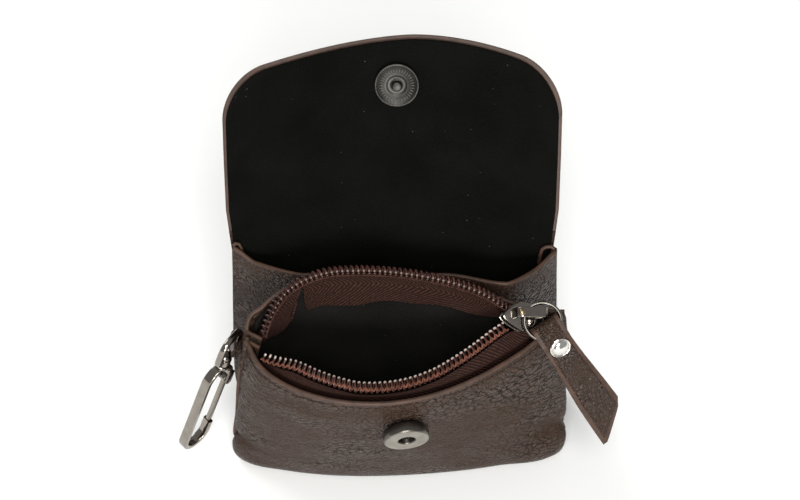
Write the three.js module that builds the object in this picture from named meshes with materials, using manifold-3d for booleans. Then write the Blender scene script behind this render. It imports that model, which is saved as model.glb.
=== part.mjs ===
// A mini wallet of soft leather that stands open on its base: a rear pocket whose back panel runs up
// into a flap, a zip pocket in front of it, a magnetic snap, a zip pull and a swivel clasp.
// Millimetres, +Z up, +X to the wallet's right as seen from the front, +Y towards its back.
import * as THREE from "three";
import { mergeVertices } from "three/addons/utils/BufferGeometryUtils.js";
import loadManifold from "manifold-3d";

const wasm = await loadManifold();
wasm.setup();

const DEGREE = Math.PI / 180;

// Walls
const LEATHER = 1.2;
const CLOTH = 1.0;
const GAP = 0.3;
const FLOOR = LEATHER / 2;
const LINING_NEAR = LEATHER / 2 + GAP;
const LINING_FAR = LINING_NEAR + CLOTH;
const TAPE_GAP = 0.5;
const TAPE_MIDDLE = LINING_FAR + TAPE_GAP + CLOTH / 2;

// Back panel and flap
const BACK_Y = 18;
const BEND_START = 70;
const BEND_RADIUS = 16;
const FLAP_LEAN = 28 * DEGREE;
const FLAP_LENGTH = 65;
const FLAP_ARCH = 0.034;
const FLAP_ARCH_POWER = 1.5;
const FLAP_CORNER = 13;
const FLAP_EDGE = 1.1;

// Height up the panel and half of its width there
const BACK_ROWS = [
  { run: 0.0, half: 49.0 },
  { run: 4.0, half: 51.6 },
  { run: 24.0, half: 52.2 },
  { run: 50.0, half: 51.6 },
  { run: BEND_START, half: 50.9 },
  { run: BEND_START + 2.6, half: 51.0 },
  { run: BEND_START + 5.2, half: 51.3 },
  { run: BEND_START + BEND_RADIUS * FLAP_LEAN, half: 51.6 },
  { run: 90.0, half: 52.4 },
  { run: 118.0, half: 52.6 },
  { run: BEND_START + BEND_RADIUS * FLAP_LEAN + FLAP_LENGTH, half: 52.6 },
];

// Front of the rear pocket, from its seam under the back panel, across the floor and up to the rim:
// height, half of the width, where its ends meet the back, and how far each end bulges to the front
const REAR_ROWS = [
  { z: 0.6, half: 49.4, endY: 15.2, bowLeft: 0.3, bowRight: 0.3 },
  { z: 0.6, half: 51.2, endY: 15.2, bowLeft: 6.5, bowRight: 6.8 },
  { z: 0.9, half: 52.6, endY: 15.2, bowLeft: 9.9, bowRight: 10.2 },
  { z: 3.6, half: 53.4, endY: 15.2, bowLeft: 11.0, bowRight: 11.2 },
  { z: 12.0, half: 53.7, endY: 15.2, bowLeft: 10.9, bowRight: 11.4 },
  { z: 28.0, half: 53.1, endY: 15.2, bowLeft: 10.2, bowRight: 11.5 },
  { z: 46.0, half: 52.2, endY: 15.2, bowLeft: 9.3, bowRight: 11.6 },
  { z: 60.0, half: 51.4, endY: 15.2, bowLeft: 8.6, bowRight: 11.7 },
  { z: 72.0, half: 50.8, endY: 15.2, bowLeft: 8.2, bowRight: 11.8 },
];
const REAR_SLOPE_LEFT = 22;
const REAR_SLOPE_RIGHT = 15.5;
const REAR_SLOPE_POWER = 1.35;

// Zip pocket's front, from the seam under the pocket, across the floor and up to the rim: heights at
// the side seams and in the middle, the two seams' places, the bulge to the front, and how full each
// half is; and where along the width the wall is fullest
const FRONT_PEAK = 0.44;
const FRONT_ROWS = [
  { zEnd: 0.6, zMid: 0.6, xL: -45.0, yL: -6.0, xR: 50.0, yR: -4.6, bow: -8.4, powL: 0.6, powR: 0.6 },
  { zEnd: 0.6, zMid: 0.6, xL: -48.2, yL: -9.4, xR: 53.6, yR: -7.0, bow: 6.0, powL: 0.6, powR: 0.6 },
  { zEnd: 1.0, zMid: 0.9, xL: -50.6, yL: -11.2, xR: 55.4, yR: -8.2, bow: 9.8, powL: 0.6, powR: 0.6 },
  { zEnd: 4.0, zMid: 3.4, xL: -52.0, yL: -12.0, xR: 56.2, yR: -8.6, bow: 11.2, powL: 0.6, powR: 0.6 },
  { zEnd: 11.0, zMid: 10.0, xL: -52.0, yL: -12.2, xR: 56.6, yR: -8.2, bow: 12.9, powL: 0.6, powR: 0.65 },
  { zEnd: 24.0, zMid: 22.0, xL: -50.7, yL: -12.3, xR: 56.6, yR: -6.8, bow: 16.2, powL: 0.6, powR: 0.72 },
  { zEnd: 39.0, zMid: 35.0, xL: -49.4, yL: -12.3, xR: 56.2, yR: -5.6, bow: 19.2, powL: 0.6, powR: 0.82 },
  { zEnd: 52.0, zMid: 47.0, xL: -47.6, yL: -12.3, xR: 55.4, yR: -4.8, bow: 21.4, powL: 0.6, powR: 0.95 },
  { zEnd: 62.6, zMid: 56.0, xL: -45.4, yL: -12.3, xR: 54.2, yR: -4.3, bow: 22.4, powL: 0.6, powR: 1.1 },
];

// Zip pocket's back, from its lower edge to the arched rim, with the same columns
const ZIP_BACK_PEAK = 0.3;
const ZIP_BACK_ROWS = [
  { zEnd: 2.4, zMid: 1.9, xL: -48.4, yL: -8.4, xR: 52.6, yR: -5.2, bow: -8.4, powL: 0.55, powR: 1.1 },
  { zEnd: 11.0, zMid: 11.0, xL: -52.0, yL: -11.6, xR: 56.4, yR: -6.3, bow: -12.3, powL: 0.55, powR: 1.15 },
  { zEnd: 24.0, zMid: 26.0, xL: -50.7, yL: -11.7, xR: 56.4, yR: -4.9, bow: -12.6, powL: 0.55, powR: 1.2 },
  { zEnd: 39.0, zMid: 43.0, xL: -49.4, yL: -11.7, xR: 56.0, yR: -3.7, bow: -13.2, powL: 0.55, powR: 1.3 },
  { zEnd: 52.0, zMid: 60.0, xL: -47.6, yL: -11.7, xR: 55.2, yR: -3.0, bow: -13.7, powL: 0.55, powR: 1.35 },
  { zEnd: 63.0, zMid: 75.5, xL: -45.4, yL: -11.7, xR: 54.0, yR: -2.6, bow: -14.3, powL: 0.55, powR: 1.4 },
];

// Zip
const COIL_HEIGHT = 3.8;
const COIL_DEPTH = 2.6;
const COIL_CORNER = 0.3;

// The zip's halves from the left end to the slider: place along the rim, height of the tape's turn over
// the rim, how far the tape goes on from there, and its slope in degrees
const BACK_CHAIN = [
  { across: 0.03, lift: -4.2, rise: 2.2, tilt: 90 },
  { across: 0.12, lift: -1.6, rise: 2.2, tilt: 90 },
  { across: 0.22, lift: 0.2, rise: 2.2, tilt: 90 },
  { across: 0.36, lift: 0.0, rise: 2.2, tilt: 90 },
  { across: 0.5, lift: 0.0, rise: 2.2, tilt: 90 },
  { across: 0.66, lift: 0.9, rise: 2.2, tilt: 85 },
  { across: 0.76, lift: 1.4, rise: 2.2, tilt: 70 },
  { across: 0.83, lift: 0.6, rise: 1.6, tilt: 48 },
];
const FRONT_CHAIN = [
  { across: 0.03, lift: -2.0, rise: 0.4, tilt: 85 },
  { across: 0.08, lift: -0.6, rise: 1.2, tilt: 60 },
  { across: 0.13, lift: 0.0, rise: 2.0, tilt: 44 },
  { across: 0.2, lift: 0.0, rise: 1.7, tilt: 40 },
  { across: 0.28, lift: 0.0, rise: 1.0, tilt: 40 },
  { across: 0.36, lift: 0.0, rise: 0.3, tilt: 40 },
  { across: 0.5, lift: 0.0, rise: 0.6, tilt: 40 },
  { across: 0.6, lift: 0.0, rise: 1.4, tilt: 40 },
  { across: 0.68, lift: 0.0, rise: 2.6, tilt: 42 },
  { across: 0.76, lift: 0.0, rise: 3.9, tilt: 46 },
  { across: 0.83, lift: 0.0, rise: 5.0, tilt: 50 },
  { across: 0.875, lift: 0.0, rise: 4.6, tilt: 52 },
];
const BACK_COIL_END = 0.93;
const FRONT_COIL_END = 0.9;
const CHAIN_STOPS = 26;

// Slider: place of its top face, the way along the zip and the way out of the face
const SLIDER_AT = new THREE.Vector3(41.1, -7.4, 69.1);
const SLIDER_ALONG = new THREE.Vector3(0.95, 0.19, -0.25);
const SLIDER_OUT = new THREE.Vector3(0.31, -0.5, 0.81);
const PLATE = 1.0;
const PLATE_SPACE = 2.4;
const BRIDGE_WIDTH = 3.2;
const BRIDGE_STOCK = 1.1;
const BRIDGE_RISE = 4.0;

// Pull: ring under the bridge, folded strap and rivet, and the way that the ring faces
const PULL_OUT = new THREE.Vector3(0, -0.643, 0.766);
const RING_RADIUS = 5.7;
const RING_WIRE = 0.6;
const RING_SLANT = 73 * DEGREE;
const RING_IN_BRIDGE = -0.35;
const RING_HEIGHT = 1.7;
const TAB_SLANT = 56 * DEGREE;
const TAB_HALF_WIDTH = 4.8;
const TAB_HALF_WIDTH_AT_END = 5.4;
const TAB_FOLD = 0.7;
const TAB_STRAIGHT = 6.3;
const TAB_DROOP = 35 * DEGREE;
const TAB_DROOP_RADIUS = 3;
const TAB_JOINED = 7.7;
const TAB_LONG_EDGE = 54.9;
const TAB_SHORT_EDGE = 40.8;
const RIVET_AT = 10.9;
const RIVET_RADIUS = 3.4;
const RIVET_SHAFT = 1.0;

// Magnetic snap
const STUD_X = 1;
const STUD_RUN = 126.2;
const STUD_RADIUS = 6.9;
const PIN_RADIUS = 1.85;
const PIN_HEIGHT = 2.1;
const SOCKET_X = 4.9;
const SOCKET_Z = 38.5;
const SOCKET_RADIUS = 7.3;
const SOCKET_HEIGHT = 3.0;
const SOCKET_HOLE = 2.65;

// Clasp: the way it hangs, the way its gate faces, the eye's limb in the leather loop
const CLASP_DOWN = new THREE.Vector3(-0.3, -0.044, -0.953);
const CLASP_GATE_SIDE = new THREE.Vector3(0.641, 0.731, -0.235);
const EYE_LIMB_AT = new THREE.Vector3(-49.3, -6.0, 55.6);
const EYE_ACROSS = new THREE.Vector3(0.5, 0.866, 0);
const EYE_HALF_WIDTH = 5.0;
const EYE_HALF_LENGTH = 5.5;
const EYE_SQUARENESS = 3.4;
const EYE_WIRE = 1.05;
const BOSS_RADIUS = 2.3;
const BOSS_HALF = 1.4;
const BOSS_HOLE = 1.5;
const POST_RADIUS = 1.1;
const POST_CLEAR = 0.4;
const HOOK_HALF = 4.9;
const HOOK_TOP = 3.6;
const HOOK_SHOULDER = 9.5;
const HOOK_BEND = 40;
const HOOK_NOSE = 35.5;
const HOOK_STRIP = 3.2;
const HOOK_STOCK = 1.7;
const GATE_PIVOT = 12.4;
const GATE_HALF_WIDTH = 0.85;
const GATE_HALF_STOCK = 0.7;
const GATE_HEAD = 1.6;
const GATE_HOLE = 0.8;
const GATE_PIN = 0.5;
const CHEEK = 0.7;
const LOOP_WIDTH = 4.4;
const LOOP_STOCK = 1.0;
const LOOP_TAIL = 6.0;
const LOOP_TAIL_HALF = 0.7;

const material = (color, roughness, metalness) =>
  new THREE.MeshStandardMaterial({ color, roughness, metalness });
const leather = material(0x4a3b33, 0.55, 0);
const lining = material(0x14130f, 0.95, 0);
const tapeCloth = material(0x3b2723, 0.85, 0);
const coilNylon = material(0x5f3b32, 0.45, 0);
const gunmetal = material(0x6f6a66, 0.25, 1);
const nickel = material(0xd9d4cd, 0.15, 1);

const vector = (x, y, z) => new THREE.Vector3(x, y, z);
const mix = THREE.MathUtils.lerp;
const step = (from, to, value) => THREE.MathUtils.smoothstep(value, from, to);
const range = (count, from = 0, to = 1) =>
  Array.from({ length: count + 1 }, (_, i) => mix(from, to, i / count));
// Values from 0 to 1 that crowd towards both ends, where a wall turns into its seam
const crowded = (count, from = 0, to = 1) =>
  range(count).map((t) => mix(from, to, (1 - Math.cos(Math.PI * t)) / 2));

// Merges the corners of a geometry, drops empty triangles and turns its faces outwards.
function solid(geometry) {
  const bare = geometry.index ? geometry.toNonIndexed() : geometry.clone();
  for (const name of Object.keys(bare.attributes)) {
    if (name !== "position") bare.deleteAttribute(name);
  }
  const merged = mergeVertices(bare, 1e-4);
  const at = merged.attributes.position;
  const corners = merged.index.array;
  const kept = [];
  let volume = 0;
  for (let i = 0; i < corners.length; i += 3) {
    const [a, b, c] = corners.slice(i, i + 3);
    if (a === b || b === c || a === c) continue;
    kept.push(a, b, c);
    const [p, q, r] = [a, b, c].map((k) => vector().fromBufferAttribute(at, k));
    volume += p.dot(q.cross(r));
  }
  if (volume < 0) kept.reverse();
  merged.setIndex(kept);
  merged.computeVertexNormals();
  return merged;
}

function toManifold(geometry) {
  const { attributes, index } = solid(geometry);
  return new wasm.Manifold(new wasm.Mesh({
    numProp: 3,
    vertProperties: new Float32Array(attributes.position.array),
    triVerts: new Uint32Array(index.array),
  }));
}

function fromManifold(body) {
  const { vertProperties, triVerts } = body.getMesh();
  const geometry = new THREE.BufferGeometry();
  geometry.setAttribute("position", new THREE.BufferAttribute(new Float32Array(vertProperties), 3));
  geometry.setIndex(new THREE.BufferAttribute(new Uint32Array(triVerts), 1));
  return solid(geometry);
}

// Joins the first list of geometries into one body and cuts the second list out of it.
function carve(joined, cut = []) {
  let body = toManifold(joined[0]);
  for (const piece of joined.slice(1)) body = body.add(toManifold(piece));
  for (const piece of cut) body = body.subtract(toManifold(piece));
  return fromManifold(body);
}

function faces(points, index) {
  const geometry = new THREE.BufferGeometry();
  const places = points.flatMap((p) => [p.x, p.y, p.z]);
  geometry.setAttribute("position", new THREE.Float32BufferAttribute(places, 3));
  geometry.setIndex(index);
  return solid(geometry);
}

// The way out of a grid of points, whose columns run to the right and whose rows run up
function gridNormal(grid, j, i) {
  const row = grid[j];
  const right = row[Math.min(i + 1, row.length - 1)].clone().sub(row[Math.max(i - 1, 0)]);
  const up = grid[Math.min(j + 1, grid.length - 1)][i].clone().sub(grid[Math.max(j - 1, 0)][i]);
  return right.cross(up).normalize();
}

// A wall between two distances from a grid of points, kept above the table.
function sheet(grid, near, far) {
  const rows = grid.length;
  const cols = grid[0].length;
  const points = [];
  for (const distance of [far, near]) {
    grid.forEach((row, j) => row.forEach((point, i) => {
      const moved = point.clone().addScaledVector(gridNormal(grid, j, i), distance);
      moved.z = Math.max(moved.z, 0);
      points.push(moved);
    }));
  }
  const front = (j, i) => j * cols + i;
  const back = (j, i) => rows * cols + j * cols + i;
  const index = [];
  const quad = (a, b, c, d) => index.push(a, b, c, a, c, d);
  for (let j = 0; j < rows - 1; j += 1) {
    for (let i = 0; i < cols - 1; i += 1) {
      quad(front(j, i), front(j, i + 1), front(j + 1, i + 1), front(j + 1, i));
      quad(back(j, i), back(j + 1, i), back(j + 1, i + 1), back(j, i + 1));
    }
    quad(front(j, 0), front(j + 1, 0), back(j + 1, 0), back(j, 0));
    quad(back(j, cols - 1), back(j + 1, cols - 1), front(j + 1, cols - 1), front(j, cols - 1));
  }
  for (let i = 0; i < cols - 1; i += 1) {
    quad(back(0, i), back(0, i + 1), front(0, i + 1), front(0, i));
    quad(front(rows - 1, i), front(rows - 1, i + 1), back(rows - 1, i + 1), back(rows - 1, i));
  }
  return faces(points, index);
}

// A bar along a path: section points [p, q] lie along each stop's reference and across it.
function sweep(path, references, section, closed = false) {
  const last = path.length - 1;
  const points = [];
  path.forEach((point, k) => {
    const next = path[closed ? (k + 1) % path.length : Math.min(k + 1, last)];
    const before = path[closed ? (k + last) % path.length : Math.max(k - 1, 0)];
    const along = next.clone().sub(before).normalize();
    const reference = references[k % references.length];
    const first = reference.clone().addScaledVector(along, -reference.dot(along)).normalize();
    const second = along.clone().cross(first);
    for (const [p, q] of section) {
      points.push(point.clone().addScaledVector(first, p).addScaledVector(second, q));
    }
  });
  const sides = section.length;
  const index = [];
  for (let k = 0; k < (closed ? path.length : last); k += 1) {
    const here = k * sides;
    const there = ((k + 1) % path.length) * sides;
    for (let m = 0; m < sides; m += 1) {
      const n = (m + 1) % sides;
      index.push(here + m, here + n, there + n, here + m, there + n, there + m);
    }
  }
  for (let m = 1; m < sides - 1 && !closed; m += 1) {
    index.push(0, m + 1, m, last * sides, last * sides + m, last * sides + m + 1);
  }
  return faces(points, index);
}

const roundSection = (radius, sides) => range(sides).slice(0, sides)
  .map((t) => [radius * Math.cos(2 * Math.PI * t), radius * Math.sin(2 * Math.PI * t)]);

// A rectangle with cut corners, wide along the reference and deep across it
function barSection(wide, deep, corner = 0.25) {
  const a = wide / 2;
  const b = deep / 2;
  const c = corner * Math.min(wide, deep);
  return [
    [a, b - c], [a - c, b], [c - a, b], [-a, b - c],
    [-a, c - b], [c - a, -b], [a - c, -b], [a, c - b],
  ];
}

// A turned piece on +Z from [radius, height] points
function turned(profile, sides) {
  const outline = profile.map(([radius, height]) => new THREE.Vector2(radius, height));
  return new THREE.LatheGeometry(outline, sides).rotateX(Math.PI / 2);
}

const rod = (radius, from, to, sides = 16) =>
  turned([[0, from], [radius, from], [radius, to], [0, to]], sides);

// The turn and shift that carry a piece's own X, Y and Z onto three directions at a place
function frameAt(place, x, y, z) {
  return new THREE.Matrix4().makeBasis(x, y, z).setPosition(place);
}

function outwardFrame(place, out) {
  const x = vector(1, 0, 0).addScaledVector(out, -out.x).normalize();
  return frameAt(place, x, out.clone().cross(x), out);
}

// A row of a table at any place between its rows, smoothed through its neighbours
function rowAt(table, place) {
  const last = table.length - 1;
  const at = Math.min(Math.max(place, 0), 1) * last;
  const k = Math.min(Math.floor(at), last - 1);
  const t = at - k;
  const before = table[Math.max(k - 1, 0)];
  const after = table[Math.min(k + 2, last)];
  const row = {};
  for (const name of Object.keys(table[0])) {
    const [a, b] = [table[k][name], table[k + 1][name]];
    const slopeA = (b - before[name]) / 2;
    const slopeB = (after[name] - a) / 2;
    const t2 = t * t;
    const t3 = t2 * t;
    row[name] = a * (2 * t3 - 3 * t2 + 1) + slopeA * (t3 - 2 * t2 + t)
      + b * (3 * t2 - 2 * t3) + slopeB * (t3 - t2);
  }
  return row;
}

// A point of a zip pocket's wall: place from its lower edge to its rim, across from left to right
function pocketPoint(table, peak, place, across) {
  const row = rowAt(table, place);
  const inLeft = across < peak;
  const side = inLeft ? across / peak : (1 - across) / (1 - peak);
  const full = Math.pow(1 - (1 - side) ** 2, inLeft ? row.powL : row.powR);
  const y = mix(row.yL, row.yR, across) - row.bow * full;
  return vector(mix(row.xL, row.xR, across), y, Math.max(mix(row.zEnd, row.zMid, full), FLOOR));
}

function rearPoint(place, across) {
  const row = rowAt(REAR_ROWS, place);
  const x = mix(-row.half, row.half, across);
  const slope = Math.min((row.half + x) / REAR_SLOPE_LEFT, (row.half - x) / REAR_SLOPE_RIGHT, 1);
  const full = 1 - Math.pow(1 - slope, REAR_SLOPE_POWER);
  const bow = mix(row.bowLeft, row.bowRight, step(REAR_SLOPE_RIGHT, row.half - REAR_SLOPE_RIGHT, x));
  return vector(x, row.endY - bow * full, Math.max(row.z, FLOOR));
}

const BEND_END = BEND_START + BEND_RADIUS * FLAP_LEAN;
const FLAP_TIP = BEND_END + FLAP_LENGTH;

// How far up the panel its edge lies, at a distance from its middle
function flapTop(x) {
  const beyond = Math.max(Math.abs(x) - (BACK_ROWS.at(-1).half - FLAP_CORNER), 0);
  const corner = FLAP_CORNER - Math.sqrt(Math.max(FLAP_CORNER ** 2 - beyond ** 2, 0));
  return FLAP_TIP - FLAP_ARCH * Math.abs(x) ** FLAP_ARCH_POWER - corner;
}

// A point of the back panel's middle surface at a height up the panel, around the bend too
function backPoint(x, run) {
  if (run <= BEND_START) return vector(x, BACK_Y, run);
  const turn = Math.min((run - BEND_START) / BEND_RADIUS, FLAP_LEAN);
  const rest = Math.max(run - BEND_END, 0);
  return vector(
    x,
    BACK_Y + BEND_RADIUS * (1 - Math.cos(turn)) + rest * Math.sin(turn),
    BEND_START + BEND_RADIUS * Math.sin(turn) + rest * Math.cos(turn),
  );
}

// The back panel's grid, drawn in from its edges by different amounts for the flap and the pocket
function backGrid(columns, flapInset, bodyInset, lowest) {
  return BACK_ROWS.map(({ run, half }) => range(columns).map((t) => {
    const inset = mix(bodyInset, flapInset, step(BEND_START - 4, BEND_END, run));
    const across = Math.sin((t - 0.5) * Math.PI);
    const x = across * half;
    const share = Math.max(run - BEND_END, 0) / FLAP_LENGTH;
    const top = mix(BEND_END, flapTop(x) - inset, share);
    const height = Math.max(run > BEND_END ? top : run, lowest);
    return backPoint(across * (half - inset), height);
  }));
}

const wallGrid = (point, places, acrosses) =>
  places.map((place) => acrosses.map((across) => point(place, across)));
const zipBackPoint = (place, across) => pocketPoint(ZIP_BACK_ROWS, ZIP_BACK_PEAK, place, across);
const zipFrontPoint = (place, across) => pocketPoint(FRONT_ROWS, FRONT_PEAK, place, across);

// The rim of a zip pocket's wall at one place, and the level way from it into the pocket
function rimAt(point, across, inwards) {
  const small = 0.004;
  const ahead = point(1, Math.min(across + small, 1));
  const behind = point(1, Math.max(across - small, 0));
  const along = ahead.sub(behind).normalize();
  const level = along.clone().setZ(0).normalize();
  return { rim: point(1, across), along, inside: vector(level.y, -level.x, 0).multiplyScalar(inwards) };
}

// One half of the zip at a share of its length: its place along the rim, the tape's turn there, the way
// its teeth point and how far the tape goes on that way
function zipHalf(point, inwards, table) {
  return (share) => {
    const { across, lift, rise, tilt } = rowAt(table, share);
    const { rim, along, inside } = rimAt(point, across, inwards);
    const slope = tilt * DEGREE;
    const teeth = inside.clone().multiplyScalar(Math.cos(slope)).setZ(Math.sin(slope));
    teeth.addScaledVector(along, -teeth.dot(along)).normalize();
    const turn = rim.addScaledVector(inside, TAPE_MIDDLE).add(vector(0, 0, lift));
    return { across, turn, teeth, rise };
  };
}

const backHalf = zipHalf(zipBackPoint, 1, BACK_CHAIN);
const frontHalf = zipHalf(zipFrontPoint, -1, FRONT_CHAIN);

// A tape: along the wall's lining up to the rim, then on to the edge that carries the teeth
function tape(point, half, inwards, lowPlaces, end) {
  const stops = crowded(CHAIN_STOPS, 0, end).map(half);
  const wall = wallGrid(point, [...lowPlaces, 1], stops.map(({ across }) => across));
  const low = lowPlaces.map((_, j) => wall[j].map((at, i) =>
    at.clone().addScaledVector(gridNormal(wall, j, i), TAPE_MIDDLE * inwards)));
  const turns = stops.map(({ turn }) => turn);
  const top = stops.map(({ turn, teeth, rise }) => turn.clone().addScaledVector(teeth, rise));
  return sheet([...low, turns, top], -CLOTH / 2, CLOTH / 2);
}

// A row of teeth as one bar above its tape's edge
function coil(half, end) {
  const stops = crowded(CHAIN_STOPS, 0, end).map(half);
  const path = stops.map(({ turn, teeth, rise }) =>
    turn.addScaledVector(teeth, rise + GAP + COIL_HEIGHT / 2));
  return sweep(path, stops.map(({ teeth }) => teeth), barSection(COIL_HEIGHT, COIL_DEPTH, COIL_CORNER));
}

// Slider's own directions: along the zip, across it and out of its face
const sliderOut = SLIDER_OUT.clone().normalize();
const sliderAlong = SLIDER_ALONG.clone()
  .addScaledVector(sliderOut, -SLIDER_ALONG.dot(sliderOut)).normalize();
const sliderAcross = sliderOut.clone().cross(sliderAlong);

function slider() {
  const outline = new THREE.Shape();
  outline.moveTo(6.4, -2.4);
  outline.lineTo(6.4, 2.4);
  outline.quadraticCurveTo(6.4, 3.5, 5.2, 3.6);
  outline.lineTo(-1, 4.6);
  outline.quadraticCurveTo(-6.4, 4.6, -6.8, 0);
  outline.quadraticCurveTo(-6.4, -4.6, -1, -4.6);
  outline.lineTo(5.2, -3.6);
  outline.quadraticCurveTo(6.4, -3.5, 6.4, -2.4);
  const flat = { depth: PLATE, bevelEnabled: false, curveSegments: 5 };
  const plate = (top) => new THREE.ExtrudeGeometry(outline, flat).translate(0, 0, top - PLATE);
  const wedge = new THREE.BoxGeometry(4, 1.8, PLATE_SPACE + 1)
    .translate(-3.6, 0, -PLATE - PLATE_SPACE / 2);
  const legs = [
    [-3.7, -0.6], [-3.5, 1.9], [-2.4, BRIDGE_RISE], [4.2, BRIDGE_RISE], [5.5, 1.9], [5.7, -0.6],
  ];
  const path = legs.map(([x, z]) => vector(x, 0, z));
  const bridge = sweep(path, [vector(0, 1, 0)], barSection(BRIDGE_WIDTH, BRIDGE_STOCK, 0.25));
  const body = carve([plate(0), plate(-PLATE - PLATE_SPACE), wedge, bridge]);
  return body.applyMatrix4(frameAt(SLIDER_AT, sliderAlong, sliderAcross, sliderOut));
}

// The ring's plane, tipped up from the slider's face, and the directions in it
const pullOut = PULL_OUT.clone().normalize();
const pullAlong = sliderAlong.clone().addScaledVector(pullOut, -sliderAlong.dot(pullOut)).normalize();
const pullAcross = pullOut.clone().cross(pullAlong);
const inPull = (slant) => pullAlong.clone().multiplyScalar(Math.cos(slant))
  .addScaledVector(pullAcross, Math.sin(slant));
const wireAlong = inPull(RING_SLANT);
const ringAway = wireAlong.clone().cross(pullOut);
const ringCentre = SLIDER_AT.clone().addScaledVector(sliderAlong, RING_IN_BRIDGE)
  .addScaledVector(sliderOut, RING_HEIGHT).addScaledVector(ringAway, RING_RADIUS);

function pullRing() {
  const ring = new THREE.TorusGeometry(RING_RADIUS, RING_WIRE, 8, 26);
  return ring.applyMatrix4(frameAt(ringCentre, pullAlong, pullAcross, pullOut));
}

// The strap's middle line: away from the ring in its plane, then drooping to the side
const tabAway = inPull(-TAB_SLANT);
const tabAcross = pullOut.clone().cross(tabAway);
function tabPoint(along, lift, across) {
  const turn = Math.min(Math.max(along - TAB_STRAIGHT, 0) / TAB_DROOP_RADIUS, TAB_DROOP);
  const bendEnd = TAB_STRAIGHT + TAB_DROOP_RADIUS * TAB_DROOP;
  const rest = Math.max(along - bendEnd, 0);
  const straight = Math.min(along, TAB_STRAIGHT);
  const away = straight + (TAB_DROOP_RADIUS + lift) * Math.sin(turn) + rest * Math.cos(turn);
  const drop = TAB_DROOP_RADIUS * (1 - Math.cos(turn)) + rest * Math.sin(turn) - lift * Math.cos(turn);
  return ringCentre.clone().addScaledVector(tabAway, away).addScaledVector(pullOut, -drop)
    .addScaledVector(tabAcross, across);
}

function pullTab() {
  const wide = RING_WIRE + 1.6 * GAP + LEATHER / 2;
  const thin = LEATHER / 2 + GAP / 2;
  // Shares of the free length, from the strap's end back to where its two layers join
  const shares = [1, 0.75, 0.5, 0.3, 0.12, 0];
  const throat = RING_RADIUS + RING_WIRE + GAP;
  const sides = range(5, -1, 1);
  const end = (side) => mix(TAB_LONG_EDGE, TAB_SHORT_EDGE, (side + 1) / 2);
  const halfAt = (along) => mix(TAB_HALF_WIDTH, TAB_HALF_WIDTH_AT_END, step(RIVET_AT, TAB_SHORT_EDGE, along));
  const free = shares.map((share) => [(side) => mix(TAB_JOINED, end(side), share), thin]);
  const throatRows = [[() => throat, wide], [() => TAB_FOLD + wide, wide]];
  const fold = range(6, 1 / 8, 7 / 8).map((t) => [
    () => TAB_FOLD + wide * (1 - Math.sin(Math.PI * t)),
    wide * Math.cos(Math.PI * t),
  ]);
  const upper = [...free, ...throatRows];
  const lower = upper.map(([along, open]) => [along, -open]).reverse();
  const grid = [...upper, ...fold, ...lower].map(([along, lift]) =>
    sides.map((side) => tabPoint(along(side), lift, side * halfAt(along(side)))));
  const hole = rod(RIVET_SHAFT + GAP, -6, 6, 14).applyMatrix4(rivetFrame());
  return carve([sheet(grid, -LEATHER / 2, LEATHER / 2)], [hole]);
}

function rivetFrame() {
  const place = tabPoint(RIVET_AT, 0, 0);
  return outwardFrame(place, tabPoint(RIVET_AT, 1, 0).sub(place).normalize());
}

function pullRivet() {
  const seat = LEATHER + GAP * 1.5;
  const dome = range(4, 0.12, 1).map((t) => [
    RIVET_RADIUS * Math.cos(t * Math.PI / 2),
    seat + 0.3 + 1.3 * Math.sin(t * Math.PI / 2),
  ]);
  dome[dome.length - 1][0] = 0;
  const profile = [
    [0, -seat - 0.9], [RIVET_RADIUS * 0.7, -seat - 0.9], [RIVET_RADIUS * 0.85, -seat],
    [RIVET_SHAFT, -seat], [RIVET_SHAFT, seat], [RIVET_RADIUS, seat], ...dome,
  ];
  return turned(profile, 20).applyMatrix4(rivetFrame());
}

// The snap's two halves face out of the walls that carry them.
function snapStud() {
  const place = backPoint(STUD_X, STUD_RUN);
  const out = vector(0, -Math.cos(FLAP_LEAN), Math.sin(FLAP_LEAN));
  place.addScaledVector(out, LINING_FAR + GAP);
  const rim = STUD_RADIUS;
  const profile = [
    [0, 0], [rim - 0.4, 0], [rim, 0.4], [rim, 1.1], [rim - 0.3, 1.4], [rim - 0.9, 1.4], [rim - 1.3, 1.1],
    [PIN_RADIUS + 1.4, 1.1], [PIN_RADIUS + 0.9, 0.6], [PIN_RADIUS, 0.6],
    [PIN_RADIUS, PIN_HEIGHT + 0.8], [PIN_RADIUS - 0.3, PIN_HEIGHT + 1.1], [0, PIN_HEIGHT + 1.1],
  ];
  return turned(profile, 24).applyMatrix4(outwardFrame(place, out));
}

// The place and way out of the front wall at a distance across and a height
function frontWallAt(x, z) {
  const last = FRONT_ROWS.length - 1;
  let [low, high] = [3 / last, 1];
  let across = 0.5;
  for (let round = 0; round < 40; round += 1) {
    const place = (low + high) / 2;
    const row = rowAt(FRONT_ROWS, place);
    across = (x - row.xL) / (row.xR - row.xL);
    if (zipFrontPoint(place, across).z < z) low = place;
    else high = place;
  }
  const small = 0.01;
  const right = zipFrontPoint(low, across + small).sub(zipFrontPoint(low, across - small));
  const up = zipFrontPoint(low + small, across).sub(zipFrontPoint(low - small, across));
  return { place: zipFrontPoint(low, across), out: right.cross(up).normalize() };
}

function snapSocket() {
  const { place, out } = frontWallAt(SOCKET_X, SOCKET_Z);
  place.addScaledVector(out, LEATHER / 2 + GAP);
  const rim = SOCKET_RADIUS;
  const profile = [
    [0, 0], [rim - 0.5, 0], [rim, 0.5], [rim, SOCKET_HEIGHT - 0.6], [rim - 0.6, SOCKET_HEIGHT],
    [SOCKET_HOLE + 0.4, SOCKET_HEIGHT], [SOCKET_HOLE, SOCKET_HEIGHT - 0.4], [SOCKET_HOLE, 0.8], [0, 0.8],
  ];
  return turned(profile, 24).applyMatrix4(outwardFrame(place, out));
}

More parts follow.
